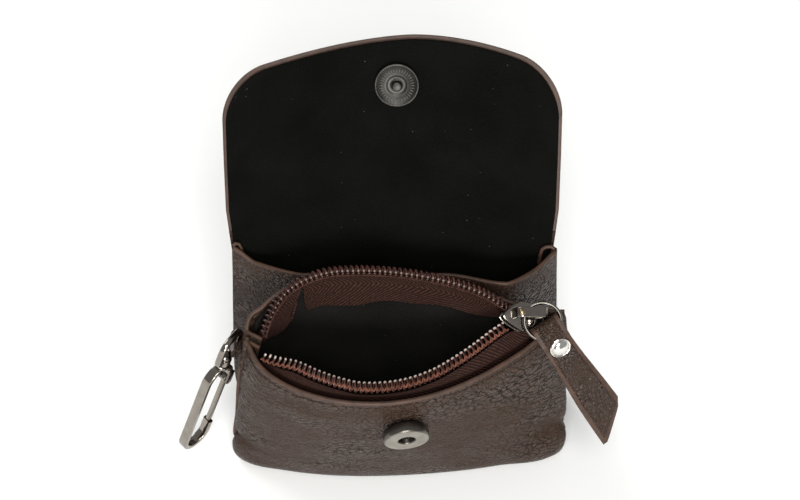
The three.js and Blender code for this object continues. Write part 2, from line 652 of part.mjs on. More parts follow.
// Clasp's own directions: down its length, towards its gate and across its strip
const claspDown = CLASP_DOWN.clone().normalize();
const claspGate = CLASP_GATE_SIDE.clone()
  .addScaledVector(claspDown, -CLASP_GATE_SIDE.dot(claspDown)).normalize();
const claspWide = claspDown.clone().cross(claspGate);
const eyeAcross = EYE_ACROSS.clone()
  .addScaledVector(claspDown, -EYE_ACROSS.dot(claspDown)).normalize();
const eyeCentre = EYE_LIMB_AT.clone().addScaledVector(eyeAcross, -EYE_HALF_WIDTH);
const swivelAt = eyeCentre.clone().addScaledVector(claspDown, EYE_HALF_LENGTH + POST_CLEAR);

// A point of the clasp: down from the swivel, towards the gate and across the strip
const claspPoint = (down, gate, wide = 0) => swivelAt.clone().addScaledVector(claspDown, down)
  .addScaledVector(claspGate, gate).addScaledVector(claspWide, wide);
// A frame whose Z runs down the clasp, for its turned pieces
const claspFrame = (place) => frameAt(place, claspGate, claspWide, claspDown);
// A frame whose Z runs across the strip, for its pivot
const pivotFrame = (place) => frameAt(place, claspDown, claspGate, claspWide);

function claspEye() {
  const squared = (value) => Math.sign(value) * Math.abs(value) ** (2 / EYE_SQUARENESS);
  const path = range(32).slice(0, 32).map((t) => eyeCentre.clone()
    .addScaledVector(eyeAcross, EYE_HALF_WIDTH * squared(Math.cos(2 * Math.PI * t)))
    .addScaledVector(claspDown, EYE_HALF_LENGTH * squared(Math.sin(2 * Math.PI * t))));
  const ring = sweep(path, [claspDown.clone().cross(eyeAcross)], roundSection(EYE_WIRE, 8), true);
  const boss = rod(BOSS_RADIUS, -BOSS_HALF, BOSS_HALF).applyMatrix4(claspFrame(swivelAt));
  const hole = rod(BOSS_HOLE, -2 * BOSS_HALF, 2 * BOSS_HALF).applyMatrix4(claspFrame(swivelAt));
  return carve([ring, boss], [hole]);
}

function claspHook() {
  const collar = BOSS_HALF + POST_CLEAR;
  const post = turned([
    [0, -collar - 1.2], [1.4, -collar - 1.2], [2.1, -collar - 0.6], [2.1, -collar], [POST_RADIUS, -collar],
    [POST_RADIUS, collar], [2.4, collar], [2.4, collar + 1.0], [1.5, collar + 1.8], [1.5, HOOK_TOP + 0.4],
    [0, HOOK_TOP + 0.4],
  ], 16).applyMatrix4(claspFrame(swivelAt));
  const arch = range(8).map((t) => claspPoint(
    HOOK_SHOULDER - (HOOK_SHOULDER - HOOK_TOP) * Math.sin(Math.PI * t),
    HOOK_HALF * Math.cos(Math.PI * t),
  ));
  const bend = range(8).map((t) => claspPoint(
    HOOK_BEND + HOOK_HALF * Math.sin(Math.PI * t),
    -HOOK_HALF * Math.cos(Math.PI * t),
  ));
  const path = [...arch, ...bend, claspPoint(HOOK_NOSE, HOOK_HALF)];
  const strip = sweep(path, [claspWide], barSection(HOOK_STRIP, HOOK_STOCK, 0.2));
  const cheekAt = GATE_HALF_WIDTH + POST_CLEAR + CHEEK / 2;
  const cheeks = [-cheekAt, cheekAt].map((wide) =>
    new THREE.BoxGeometry(GATE_PIVOT - HOOK_SHOULDER + 3.2, 2.4, CHEEK)
      .applyMatrix4(pivotFrame(claspPoint((GATE_PIVOT + HOOK_SHOULDER) / 2 + 0.2, HOOK_HALF, wide))));
  const pivot = pivotFrame(claspPoint(GATE_PIVOT, HOOK_HALF));
  const pin = rod(GATE_PIN, -cheekAt, cheekAt, 10).applyMatrix4(pivot);
  return carve([strip, post, ...cheeks, pin]);
}

function claspGateBar() {
  const tip = HOOK_NOSE - POST_CLEAR;
  const path = [GATE_PIVOT, (GATE_PIVOT + tip) / 2, tip].map((down) => claspPoint(down, HOOK_HALF));
  const bar = sweep(path, [claspWide], barSection(2 * GATE_HALF_WIDTH, 2 * GATE_HALF_STOCK, 0.2));
  const pivot = pivotFrame(claspPoint(GATE_PIVOT, HOOK_HALF));
  const head = rod(GATE_HEAD, -GATE_HALF_WIDTH, GATE_HALF_WIDTH, 14).applyMatrix4(pivot);
  const hole = rod(GATE_HOLE, -2, 2, 10).applyMatrix4(pivot);
  return carve([bar, head], [hole]);
}

// A strap folded round the eye's limb, with its two ends side by side at the pocket's seam
function claspLoop() {
  const tail = vector(0, -1, 0).addScaledVector(claspDown, claspDown.y).normalize();
  const side = tail.clone().cross(claspDown);
  const round = EYE_WIRE + GAP + LOOP_STOCK / 2;
  const place = (along, out) =>
    EYE_LIMB_AT.clone().addScaledVector(tail, along).addScaledVector(side, out);
  const turn = range(8, -0.5, 0.5).map((t) =>
    place(-round * Math.cos(Math.PI * t), round * Math.sin(Math.PI * t)));
  const neck = LOOP_TAIL * 0.6;
  const path = [
    place(LOOP_TAIL, -LOOP_TAIL_HALF), place(neck, -LOOP_TAIL_HALF),
    ...turn,
    place(neck, LOOP_TAIL_HALF), place(LOOP_TAIL, LOOP_TAIL_HALF),
  ];
  return sweep(path, [claspDown], barSection(LOOP_WIDTH, LOOP_STOCK, 0.15));
}

const wallet = new THREE.Group();

function add(name, geometry, finish) {
  const mesh = new THREE.Mesh(solid(geometry), finish.clone());
  mesh.name = name;
  wallet.add(mesh);
}

const HALF = LEATHER / 2;
add("back_flap", sheet(backGrid(22, 0, 0, 0), -HALF, HALF), leather);
add("flap_lining", sheet(backGrid(18, FLAP_EDGE, 0.4, 3), LINING_NEAR, LINING_FAR), lining);
add("rear_wall", sheet(wallGrid(rearPoint, range(9), crowded(22)), -HALF, HALF), leather);
add("zip_back", sheet(wallGrid(zipBackPoint, range(6), crowded(22)), -HALF, HALF), leather);
add("zip_front", sheet(wallGrid(zipFrontPoint, range(11), crowded(24)), -HALF, HALF), leather);
const inside = (acrosses) => acrosses.filter((across) => across > 0.03 && across < 0.95);
add("zip_lining_back", sheet(wallGrid(zipBackPoint, range(4, 0.06, 0.97), inside(crowded(22))),
  LINING_NEAR, LINING_FAR), lining);
add("zip_lining_front", sheet(wallGrid(zipFrontPoint, range(8, 0.06, 0.97), inside(crowded(24))),
  -LINING_FAR, -LINING_NEAR), lining);
add("zip_tape_back", tape(zipBackPoint, backHalf, 1, [0.78, 0.87], BACK_COIL_END), tapeCloth);
add("zip_tape_front", tape(zipFrontPoint, frontHalf, -1, [0.88, 0.94], FRONT_COIL_END), tapeCloth);
add("zip_coil_back", coil(backHalf, BACK_COIL_END), coilNylon);
add("zip_coil_front", coil(frontHalf, FRONT_COIL_END), coilNylon);
add("zip_slider", slider(), gunmetal);
add("pull_ring", pullRing(), gunmetal);
add("pull_tab", pullTab(), leather);
add("pull_rivet", pullRivet(), nickel);
add("snap_stud", snapStud(), gunmetal);
add("snap_socket", snapSocket(), gunmetal);
add("clasp_loop", claspLoop(), leather);
add("clasp_eye", claspEye(), gunmetal);
add("clasp_hook", claspHook(), gunmetal);
add("clasp_gate", claspGateBar(), gunmetal);

export default wallet;
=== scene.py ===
"""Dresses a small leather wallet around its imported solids: leather, lining, zip, pull, snap and clasp.

Sizes are in millimetres and repeat the solids' driving sizes; meshes are written in metres, +Z up.
"""

import logging
import math
from collections.abc import Callable, Sequence
from dataclasses import dataclass
from enum import Enum
from itertools import accumulate
from typing import NamedTuple, TypeVar

import bmesh
import bpy
from mathutils import Matrix, Vector, noise

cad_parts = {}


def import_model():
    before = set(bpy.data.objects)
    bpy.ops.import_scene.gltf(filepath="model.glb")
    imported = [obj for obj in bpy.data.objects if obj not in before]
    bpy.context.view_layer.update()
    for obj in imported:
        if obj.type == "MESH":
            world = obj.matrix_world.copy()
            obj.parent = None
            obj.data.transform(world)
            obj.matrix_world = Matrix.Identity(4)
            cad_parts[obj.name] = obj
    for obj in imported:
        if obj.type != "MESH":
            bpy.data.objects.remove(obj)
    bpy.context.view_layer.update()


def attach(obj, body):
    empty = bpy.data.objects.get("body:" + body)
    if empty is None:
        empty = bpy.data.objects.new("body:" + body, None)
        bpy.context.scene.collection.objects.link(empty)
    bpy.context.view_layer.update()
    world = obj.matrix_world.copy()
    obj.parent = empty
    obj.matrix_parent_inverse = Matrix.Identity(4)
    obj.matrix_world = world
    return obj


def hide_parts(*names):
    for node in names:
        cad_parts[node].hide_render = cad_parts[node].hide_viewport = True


LOG = logging.getLogger("wallet")
MM = 0.001
TURN = 2 * math.pi
DEGREE = math.pi / 180

Place = Callable[[float, float], Vector]
Row = TypeVar("Row", bound=tuple)


class Body(Enum):
    """The rigid bodies that the pieces ride on."""

    WALLET = "wallet"
    HOOK = "hook"
    GATE = "gate"


class Slot(Enum):
    """The record's material slots."""

    LEATHER = "leather"
    LINING = "lining"
    TAPE = "tape"
    COIL = "coil"
    GUNMETAL = "gunmetal"
    NICKEL = "nickel"


class Hold(Enum):
    """How a sheet is held."""

    STRETCHED = "stretched"
    FOLDED = "folded"


# Sizes shared by several sub-assemblies, as in the solids
LEATHER = 1.2
CLOTH = 1.0
GAP = 0.3
FLOOR = LEATHER / 2
LINING_NEAR = LEATHER / 2 + GAP
LINING_MIDDLE = LINING_NEAR + CLOTH / 2
TAPE_MIDDLE = LINING_NEAR + CLOTH + 0.5 + CLOTH / 2


def mix(start: float, end: float, share: float) -> float:
    """Returns the value a share of the way from start to end."""
    return start + (end - start) * share


def step(start: float, end: float, value: float) -> float:
    """Returns a smooth 0 to 1 as value goes from start to end."""
    share = min(max((value - start) / (end - start), 0.0), 1.0)
    return share * share * (3 - 2 * share)


def crowd(share: float) -> float:
    """Returns a share from 0 to 1 that crowds towards both ends."""
    return (1 - math.cos(math.pi * share)) / 2


def bump(value: float, middle: float, width: float) -> float:
    """Returns a bell from 0 to 1 around a middle."""
    return math.exp(-(((value - middle) / width) ** 2))


def ripple(x: float, y: float, seed: float = 0.0) -> float:
    """Returns smooth noise from -1 to 1 at a place."""
    return noise.noise(Vector((x, y, seed)))


def row_at(rows: Sequence[Row], place: float) -> Row:
    """Reads a table between its rows, smoothed through the neighbours.

    Args:
        rows: the table, from its first row to its last.
        place: 0 at the first row, 1 at the last.

    Returns:
        A row of the same kind.
    """
    last = len(rows) - 1
    at = min(max(place, 0.0), 1.0) * last
    k = min(int(at), last - 1)
    t = at - k
    before, after = rows[max(k - 1, 0)], rows[min(k + 2, last)]
    values = []
    for p, a, b, q in zip(before, rows[k], rows[k + 1], after):
        rise, run = t * t * (3 - 2 * t), t * (1 - t)
        values.append(mix(a, b, rise) + run * ((1 - t) * (b - p) / 2 - t * (q - a) / 2))
    return type(rows[0])(*values)


def lifted(place: Place, s: float, t: float, lift: float) -> Vector:
    """Works out a point beside a surface.

    Args:
        place: the surface, at shares across and up.
        s: the share across.
        t: the share up.
        lift: how far the point lies from the surface along its way out, in millimetres.

    Returns:
        The point.
    """
    small = 0.002
    right = place(min(s + small, 1), t) - place(max(s - small, 0), t)
    up = place(s, min(t + small, 1)) - place(s, max(t - small, 0))
    return place(s, t) + right.cross(up).normalized() * lift


def lengths(points: Sequence[Vector]) -> list[float]:
    """Returns the distance along a line at each of its points."""
    return [0.0, *accumulate((after - before).length for before, after in zip(points, points[1:]))]


def drawn_grid(
    columns: int, rows: int, place: Place, flat: tuple[float, float] | None = None
) -> bmesh.types.BMesh:
    """Draws a flat grid into its place in space.

    Args:
        columns: quads across.
        rows: quads up.
        place: the point in millimetres at shares across and up.
        flat: the grain's width and height, measured along the middle of the shape where none is given.

    Returns:
        The mesh, in metres.
    """
    if flat:
        wide = [flat[0] * k / columns for k in range(columns + 1)]
        high = [flat[1] * k / rows for k in range(rows + 1)]
    else:
        wide = lengths([place(k / columns, 0.6) for k in range(columns + 1)])
        high = lengths([place(0.5, k / rows) for k in range(rows + 1)])
    bm = bmesh.new()
    grain = bm.loops.layers.uv.new("grain")
    bmesh.ops.create_grid(bm, x_segments=columns, y_segments=rows, size=0.5)
    spots = {vert: (vert.co.x + 0.5, vert.co.y + 0.5) for vert in bm.verts}
    for face in bm.faces:
        for loop in face.loops:
            s, t = spots[loop.vert]
            loop[grain].uv = (wide[round(s * columns)], high[round(t * rows)])
    for vert, (s, t) in spots.items():
        vert.co = place(s, t) * MM
    return bm


def rounded_bar(wide: float, deep: float, corner: float, arcs: int = 3) -> list[tuple[float, float]]:
    """Works out the section of a bar with round corners.

    Args:
        wide: the bar's width, in millimetres.
        deep: its depth.
        corner: the round of its corners.
        arcs: how many steps a corner has.

    Returns:
        Points across and along the depth.
    """
    section = []
    for quarter in range(4):
        sign_x = 1 if quarter in (0, 3) else -1
        sign_y = 1 if quarter < 2 else -1
        for k in range(arcs + 1):
            angle = (quarter + k / arcs) * math.pi / 2
            section.append((
                sign_x * (wide / 2 - corner) + corner * math.cos(angle),
                sign_y * (deep / 2 - corner) + corner * math.sin(angle),
            ))
    return section


def round_section(radius: float, sides: int) -> list[tuple[float, float]]:
    """Returns the section of a round wire."""
    return [(radius * math.cos(TURN * k / sides), radius * math.sin(TURN * k / sides)) for k in range(sides)]


def swept(
    path: Sequence[Vector],
    references: Sequence[Vector],
    sections: Sequence[Sequence[tuple[float, float]]],
    closed: bool = False,
    run: float | None = None,
) -> bmesh.types.BMesh:
    """Sweeps a section along a path.

    Args:
        path: the stops, in millimetres.
        references: the way that the section's first axis points, one for all stops or one each.
        sections: one section for all stops, or one each.
        closed: whether the path comes back to its start.
        run: what the grain counts to along the path, or None for its length.

    Returns:
        The closed mesh, in metres.
    """
    count, sides = len(path), len(sections[0])
    rings = []
    length = 0.0
    for k, point in enumerate(path):
        ahead = path[(k + 1) % count] if closed or k + 1 < count else point
        behind = path[k - 1] if closed or k else point
        along = (ahead - behind).normalized()
        reference = references[k % len(references)]
        first = (reference - along * reference.dot(along)).normalized()
        second = along.cross(first)
        rings.append([point + first * p + second * q for p, q in sections[k % len(sections)]])
        length += (path[(k + 1) % count] - point).length
    spans = count if closed else count - 1
    girth = sum((Vector(sections[0][m]) - Vector(sections[0][m - 1])).length for m in range(sides))

    def place(s: float, t: float) -> Vector:
        """Returns the corner of a ring at shares round the section and along the path."""
        return rings[round(t * spans) % count][round(s * sides) % sides]

    bm = drawn_grid(sides, spans, place, (girth, length if run is None else run))
    bmesh.ops.remove_doubles(bm, verts=bm.verts, dist=1e-6)
    if not closed:
        bmesh.ops.holes_fill(bm, edges=[edge for edge in bm.edges if edge.is_boundary], sides=0)
    bmesh.ops.recalc_face_normals(bm, faces=bm.faces)
    return bm


def turned(profile: Sequence[tuple[float, float]], steps: int) -> bmesh.types.BMesh:
    """Turns a profile round +Z.

    Args:
        profile: points of radius and height, in millimetres.
        steps: how many steps a full turn has.

    Returns:
        The closed mesh, in metres.
    """
    bm = bmesh.new()
    bm.loops.layers.uv.new("grain")
    verts = [bm.verts.new((radius * MM, 0, height * MM)) for radius, height in profile]
    edges = [bm.edges.new(pair) for pair in zip(verts, verts[1:])]
    bmesh.ops.spin(bm, geom=verts + edges, cent=(0, 0, 0), axis=(0, 0, 1), dvec=(0, 0, 0),
                   angle=TURN, steps=steps, use_merge=True, use_duplicate=False)
    bmesh.ops.remove_doubles(bm, verts=bm.verts, dist=1e-7)
    bmesh.ops.recalc_face_normals(bm, faces=bm.faces)
    return bm


def plate(outline: Sequence[tuple[float, float]], thick: float, edge: float) -> bmesh.types.BMesh:
    """Makes a flat plate with worn edges, from z = 0 down.

    Args:
        outline: its corners, in millimetres.
        thick: its thickness.
        edge: the round of its edges.

    Returns:
        The plate, in metres.
    """
    bm = bmesh.new()
    bm.loops.layers.uv.new("grain")
    face = bm.faces.new([bm.verts.new((x * MM, y * MM, 0)) for x, y in outline])
    below = bmesh.ops.extrude_face_region(bm, geom=[face])
    moved = [item for item in below["geom"] if isinstance(item, bmesh.types.BMVert)]
    bmesh.ops.translate(bm, verts=moved, vec=(0, 0, -thick * MM))
    bmesh.ops.recalc_face_normals(bm, faces=bm.faces)
    sharp = [e for e in bm.edges if len(e.link_faces) == 2 and e.calc_face_angle() > 1.0]
    bmesh.ops.bevel(bm, geom=sharp, offset=edge * MM, segments=2, profile=0.5, affect="EDGES", material=-1)
    return bm


def joined(parts: Sequence[bmesh.types.BMesh]) -> bmesh.types.BMesh:
    """Puts several meshes into one.

    Args:
        parts: the meshes, which are freed.

    Returns:
        The one mesh.
    """
    whole = bmesh.new()
    for part in parts:
        mesh = bpy.data.meshes.new("part")
        part.to_mesh(mesh)
        part.free()
        whole.from_mesh(mesh)
        bpy.data.meshes.remove(mesh)
    return whole


def basis(place: Vector, x: Vector, y: Vector, z: Vector) -> Matrix:
    """Returns the move, in metres, that carries X, Y and Z onto three directions at a place."""
    turn = Matrix((x, y, z)).transposed().to_4x4()
    return Matrix.Translation(place * MM) @ turn


def facing(place: Vector, out: Vector) -> Matrix:
    """Returns the move that stands a turned piece on a place, with its +Z along a way out."""
    x = (Vector((1, 0, 0)) - out * out.x).normalized()
    return basis(place, x, out.cross(x), out)


def linear(code: str) -> tuple[float, float, float, float]:
    """Turns an sRGB hex colour into the linear colour that a shader takes."""
    channels = [int(code[k:k + 2], 16) / 255 for k in (1, 3, 5)]
    return (*(c / 12.92 if c <= 0.04045 else ((c + 0.055) / 1.055) ** 2.4 for c in channels), 1.0)


Tree = bpy.types.NodeTree
Node = bpy.types.Node
Feed = float | tuple[float, ...] | Node | bpy.types.NodeSocket

# A Mix node's colour sockets by number, because they share their names with its other sockets
MIX_FIRST, MIX_SECOND, MIX_COLOUR = 6, 7, 2


class Kind(Enum):
    """The kinds of shader node that the finishes use."""

    SHADER = "ShaderNodeBsdfPrincipled"
    SURFACE = "ShaderNodeOutputMaterial"
    ROOM = "ShaderNodeBackground"
    WORLD = "ShaderNodeOutputWorld"
    GRAIN = "ShaderNodeUVMap"
    COORDINATES = "ShaderNodeTexCoord"
    AXES = "ShaderNodeSeparateXYZ"
    CHANNELS = "ShaderNodeSeparateColor"
    NOISE = "ShaderNodeTexNoise"
    CELLS = "ShaderNodeTexVoronoi"
    VECTOR = "ShaderNodeVectorMath"
    MATH = "ShaderNodeMath"
    RANGE = "ShaderNodeMapRange"
    MIX = "ShaderNodeMix"
    BUMP = "ShaderNodeBump"


def feed(tree: Tree, node: Node, inputs: dict[str | int, Feed]) -> None:
    """Sets a node's sockets to values, or links them to what feeds them.

    Args:
        tree: the node tree.
        node: the node.
        inputs: socket names or numbers, each with a value, an output, or a node for its first output.
    """
    for name, value in inputs.items():
        source = value.outputs[0] if isinstance(value, Node) else value
        if isinstance(source, bpy.types.NodeSocket):
            tree.links.new(source, node.inputs[name])
        else:
            node.inputs[name].default_value = source


def add_node(tree: Tree, kind: Kind, inputs: dict[str | int, Feed] | None = None, **settings: str) -> Node:
    """Adds a node with its settings and links.

    Args:
        tree: the node tree.
        kind: the kind of node.
        inputs: what its sockets are set to or fed by.
        settings: its own attributes.

    Returns:
        The node.
    """
    node = tree.nodes.new(kind.value)
    for name, value in settings.items():
        setattr(node, name, value)
    feed(tree, node, inputs or {})
    return node


def new_material(name: str) -> tuple[bpy.types.Material, Tree, Node]:
    """Makes a material with a plain shader.

    Args:
        name: the material's name.

    Returns:
        The material, its node tree and its shader.
    """
    material = bpy.data.materials.new(name)
    material.use_nodes = True
    tree = material.node_tree
    tree.nodes.clear()
    shader = add_node(tree, Kind.SHADER)
    add_node(tree, Kind.SURFACE, {"Surface": shader})
    return material, tree, shader


def mottled(tree: Tree, pattern: Feed, dark: str, light: str, low: float = 0.3, high: float = 0.7) -> Feed:
    """Blends two tones by a pattern.

    Args:
        tree: the material's nodes.
        pattern: what the tones follow.
        dark: the sRGB colour where the pattern is low.
        light: the sRGB colour where it is high.
        low: up to where it counts as low.
        high: from where it counts as high.

    Returns:
        The colour.
    """
    share = add_node(tree, Kind.RANGE, {"Value": pattern, "From Min": low, "From Max": high},
                     interpolation_type="SMOOTHSTEP")
    return add_node(tree, Kind.MIX, {"Factor": share, MIX_FIRST: linear(dark), MIX_SECOND: linear(light)},
                    data_type="RGBA").outputs[MIX_COLOUR]


def per_cell(wide: float, high: float) -> tuple[float, float, float]:
    """Returns the scale that counts the grain's millimetres in cells of a width and a height."""
    return 1 / wide, 1 / high, 1.0


@dataclass(frozen=True)
class SoftLeather:
    """Drum-dyed milled calf leather.

    Milling gives the eye soft creases in loose patches, with small pebbles on them. The satin finish shines
    on the crests of the grain and stays dull in its valleys. The valleys' darker colour is painted shade, and
    the loose patches' lighter colour is a painted sheen.
    """

    name: str = "milled_calf_leather"
    top: str = "#32231a"
    # Colour of the valleys between the grain's islands: painted shade in the creases
    deep: str = "#160e09"
    # Lighter colour of the loose, wrinkled patches: a painted sheen
    worn: str = "#3b2b21"
    # Real grain is about 0.5 mm wide, too fine for a pixel of 0.3 mm, so it is drawn coarser, from 0.7 mm
    wrinkle_long: float = 2.8
    wrinkle_wide: float = 1.5
    pebble_long: float = 1.2
    pebble_wide: float = 0.9
    patch_long: float = 30.0
    patch_wide: float = 15.0
    sway: tuple[float, float, float] = (0.8, 1.2, 0.0)
    valley: float = 0.22
    smooth_share: float = 0.25
    pebble_share: float = 0.3
    relief: float = 0.58
    roughness: float = 0.33
    gloss: float = 0.3
    tight_gloss: float = 0.45
    valley_gloss: float = 0.15

    def cells(self, tree: Tree, grain: Node, long: float, wide: float) -> Node:
        """Adds rounded islands of grain with sharp valleys between them.

        Args:
            tree: the material's nodes.
            grain: the place on the leather, in millimetres.
            long: an island's length, in millimetres.
            wide: an island's width, in millimetres.

        Returns:
            Their height, from 0 to 1.
        """
        slow = add_node(tree, Kind.VECTOR, {0: grain, 1: per_cell(long * 1.6, wide * 3.0)},
                        operation="MULTIPLY")
        wander = add_node(tree, Kind.NOISE, {"Vector": slow, "Scale": 1.0, "Detail": 2.0})
        cell = add_node(tree, Kind.VECTOR, {0: grain, 1: per_cell(long, wide)}, operation="MULTIPLY")
        drift = add_node(tree, Kind.VECTOR, {0: wander.outputs["Color"], 1: self.sway, 2: cell},
                         operation="MULTIPLY_ADD")
        islands = add_node(tree, Kind.CELLS, {"Vector": drift, "Scale": 1.0}, feature="DISTANCE_TO_EDGE")
        return add_node(tree, Kind.RANGE, {
            "Value": islands.outputs["Distance"], "From Min": 0.0, "From Max": self.valley},
            interpolation_type="SMOOTHSTEP")

    def build(self) -> bpy.types.Material:
        """Makes the leather's material.

        Returns:
            The material.
        """
        material, tree, shader = new_material(self.name)
        grain = add_node(tree, Kind.GRAIN, uv_map="grain")
        wrinkle = self.cells(tree, grain, self.wrinkle_long, self.wrinkle_wide)
        pebble = self.cells(tree, grain, self.pebble_long, self.pebble_wide)
        wide = add_node(tree, Kind.VECTOR, {0: grain, 1: per_cell(self.patch_long, self.patch_wide)},
                        operation="MULTIPLY")
        patches = add_node(tree, Kind.NOISE, {"Vector": wide, "Scale": 1.0, "Detail": 2.0})
        loose = add_node(tree, Kind.RANGE, {"Value": patches, "From Min": 0.38, "From Max": 0.68},
                         interpolation_type="SMOOTHSTEP")
        share = add_node(tree, Kind.MATH, {0: loose, 1: 1 - self.smooth_share, 2: self.smooth_share},
                         operation="MULTIPLY_ADD")
        fine = add_node(tree, Kind.MATH, {0: pebble, 1: self.pebble_share}, operation="MULTIPLY")
        height = add_node(tree, Kind.MATH, {0: wrinkle, 1: share, 2: fine}, operation="MULTIPLY_ADD")
        # Painted sheen: the loose patches take the lighter worn colour
        body = add_node(tree, Kind.MIX, {
            "Factor": loose, MIX_FIRST: linear(self.top), MIX_SECOND: linear(self.worn)}, data_type="RGBA")
        # Painted shade: in the loose patches the colour falls to the deep one in the valleys
        crest = add_node(tree, Kind.RANGE, {"Value": wrinkle, "From Min": 0.0, "From Max": 0.36},
                         interpolation_type="SMOOTHSTEP")
        tight = add_node(tree, Kind.MATH, {0: 1.0, 1: share}, operation="SUBTRACT")
        raised = add_node(tree, Kind.MATH, {0: crest, 1: share, 2: tight}, operation="MULTIPLY_ADD")
        colour = add_node(tree, Kind.MIX, {
            "Factor": raised, MIX_FIRST: linear(self.deep), MIX_SECOND: body.outputs[MIX_COLOUR]},
            data_type="RGBA")
        shine = add_node(tree, Kind.MATH, {
            0: loose, 1: self.gloss * (1 - self.tight_gloss), 2: self.gloss * self.tight_gloss},
            operation="MULTIPLY_ADD")
        lit = add_node(tree, Kind.MATH, {0: raised, 1: 1 - self.valley_gloss, 2: self.valley_gloss},
                       operation="MULTIPLY_ADD")
        gloss = add_node(tree, Kind.MATH, {0: lit, 1: shine}, operation="MULTIPLY")
        relief = add_node(tree, Kind.BUMP, {"Strength": 1.0, "Distance": self.relief * MM, "Height": height})
        feed(tree, shader, {"Base Color": colour.outputs[MIX_COLOUR], "Roughness": self.roughness,
                            "Specular IOR Level": self.gloss, "Normal": relief})
        # The even gloss above is what stays where the link isn't kept
        feed(tree, shader, {"Specular IOR Level": gloss})
        return material


@dataclass(frozen=True)
class EdgePaint:
    """Acrylic edge dye on a cut edge: it gives the eye a lighter, smooth brown with faint strokes."""

    name: str = "acrylic_edge_dye"
    light: str = "#453024"
    dark: str = "#36261c"
    stroke: float = 3.0
    roughness: float = 0.5

    def build(self) -> bpy.types.Material:
        """Makes the painted edge's material.

        Returns:
            The material.
        """
        material, tree, shader = new_material(self.name)
        spot = add_node(tree, Kind.COORDINATES)
        strokes = add_node(tree, Kind.NOISE, {
            "Vector": spot.outputs["Object"], "Scale": 1 / (self.stroke * MM), "Detail": 4.0})
        relief = add_node(tree, Kind.BUMP, {"Strength": 0.3, "Distance": 0.1 * MM, "Height": strokes})
        feed(tree, shader, {"Base Color": mottled(tree, strokes, self.dark, self.light),
                            "Roughness": self.roughness, "Specular IOR Level": 0.3, "Normal": relief})
        return material


@dataclass(frozen=True)
class Microsuede:
    """Black brushed microfibre: it gives the eye a deep black with a soft nap and specks of lint."""

    name: str = "black_microsuede"
    pile: str = "#060605"
    nap: str = "#0d0d0b"
    lint: str = "#4a4742"
    # Real pile is under 0.1 mm, too fine to show, so it is drawn as tufts of half a millimetre
    fibre: float = 0.5
    brush: float = 18.0
    lint_apart: float = 3.6
    lint_share: float = 0.28

    def build(self) -> bpy.types.Material:
        """Makes the lining's material.

        Returns:
            The material.
        """
        material, tree, shader = new_material(self.name)
        grain = add_node(tree, Kind.GRAIN, uv_map="grain")
        close = add_node(tree, Kind.VECTOR, {0: grain, 1: per_cell(self.fibre, self.fibre)},
                         operation="MULTIPLY")
        fibres = add_node(tree, Kind.NOISE, {"Vector": close, "Scale": 1.0, "Detail": 3.0})
        wide = add_node(tree, Kind.VECTOR, {0: grain, 1: per_cell(self.brush, self.brush)},
                        operation="MULTIPLY")
        patches = add_node(tree, Kind.NOISE, {"Vector": wide, "Scale": 1.0, "Detail": 2.0})
        tufts = add_node(tree, Kind.MATH, {0: fibres, 1: 0.6}, operation="MULTIPLY")
        brushed = add_node(tree, Kind.MATH, {0: patches, 1: 0.4, 2: tufts}, operation="MULTIPLY_ADD")
        nap = mottled(tree, brushed, self.pile, self.nap, 0.35, 0.65)
        apart = add_node(tree, Kind.VECTOR, {0: grain, 1: per_cell(self.lint_apart, self.lint_apart * 0.7)},
                         operation="MULTIPLY")
        specks = add_node(tree, Kind.CELLS, {"Vector": apart, "Scale": 1.0})
        cell = add_node(tree, Kind.CHANNELS, {0: specks.outputs["Color"]})
        beyond = add_node(tree, Kind.RANGE, {
            "Value": specks.outputs["Distance"], "From Min": 0.03, "From Max": 0.07},
            interpolation_type="SMOOTHSTEP")
        near = add_node(tree, Kind.MATH, {0: 1.0, 1: beyond}, operation="SUBTRACT")
        few = add_node(tree, Kind.MATH, {0: cell, 1: 1 - self.lint_share}, operation="GREATER_THAN")
        speck = add_node(tree, Kind.MATH, {0: near, 1: few}, operation="MULTIPLY")
        colour = add_node(tree, Kind.MIX, {
            "Factor": speck, MIX_FIRST: nap, MIX_SECOND: linear(self.lint)}, data_type="RGBA")
        relief = add_node(tree, Kind.BUMP, {"Strength": 0.4, "Distance": 0.1 * MM, "Height": fibres})
        feed(tree, shader, {"Base Color": colour.outputs[MIX_COLOUR], "Roughness": 0.95,
                            "Specular IOR Level": 0.04, "Normal": relief})
        return material


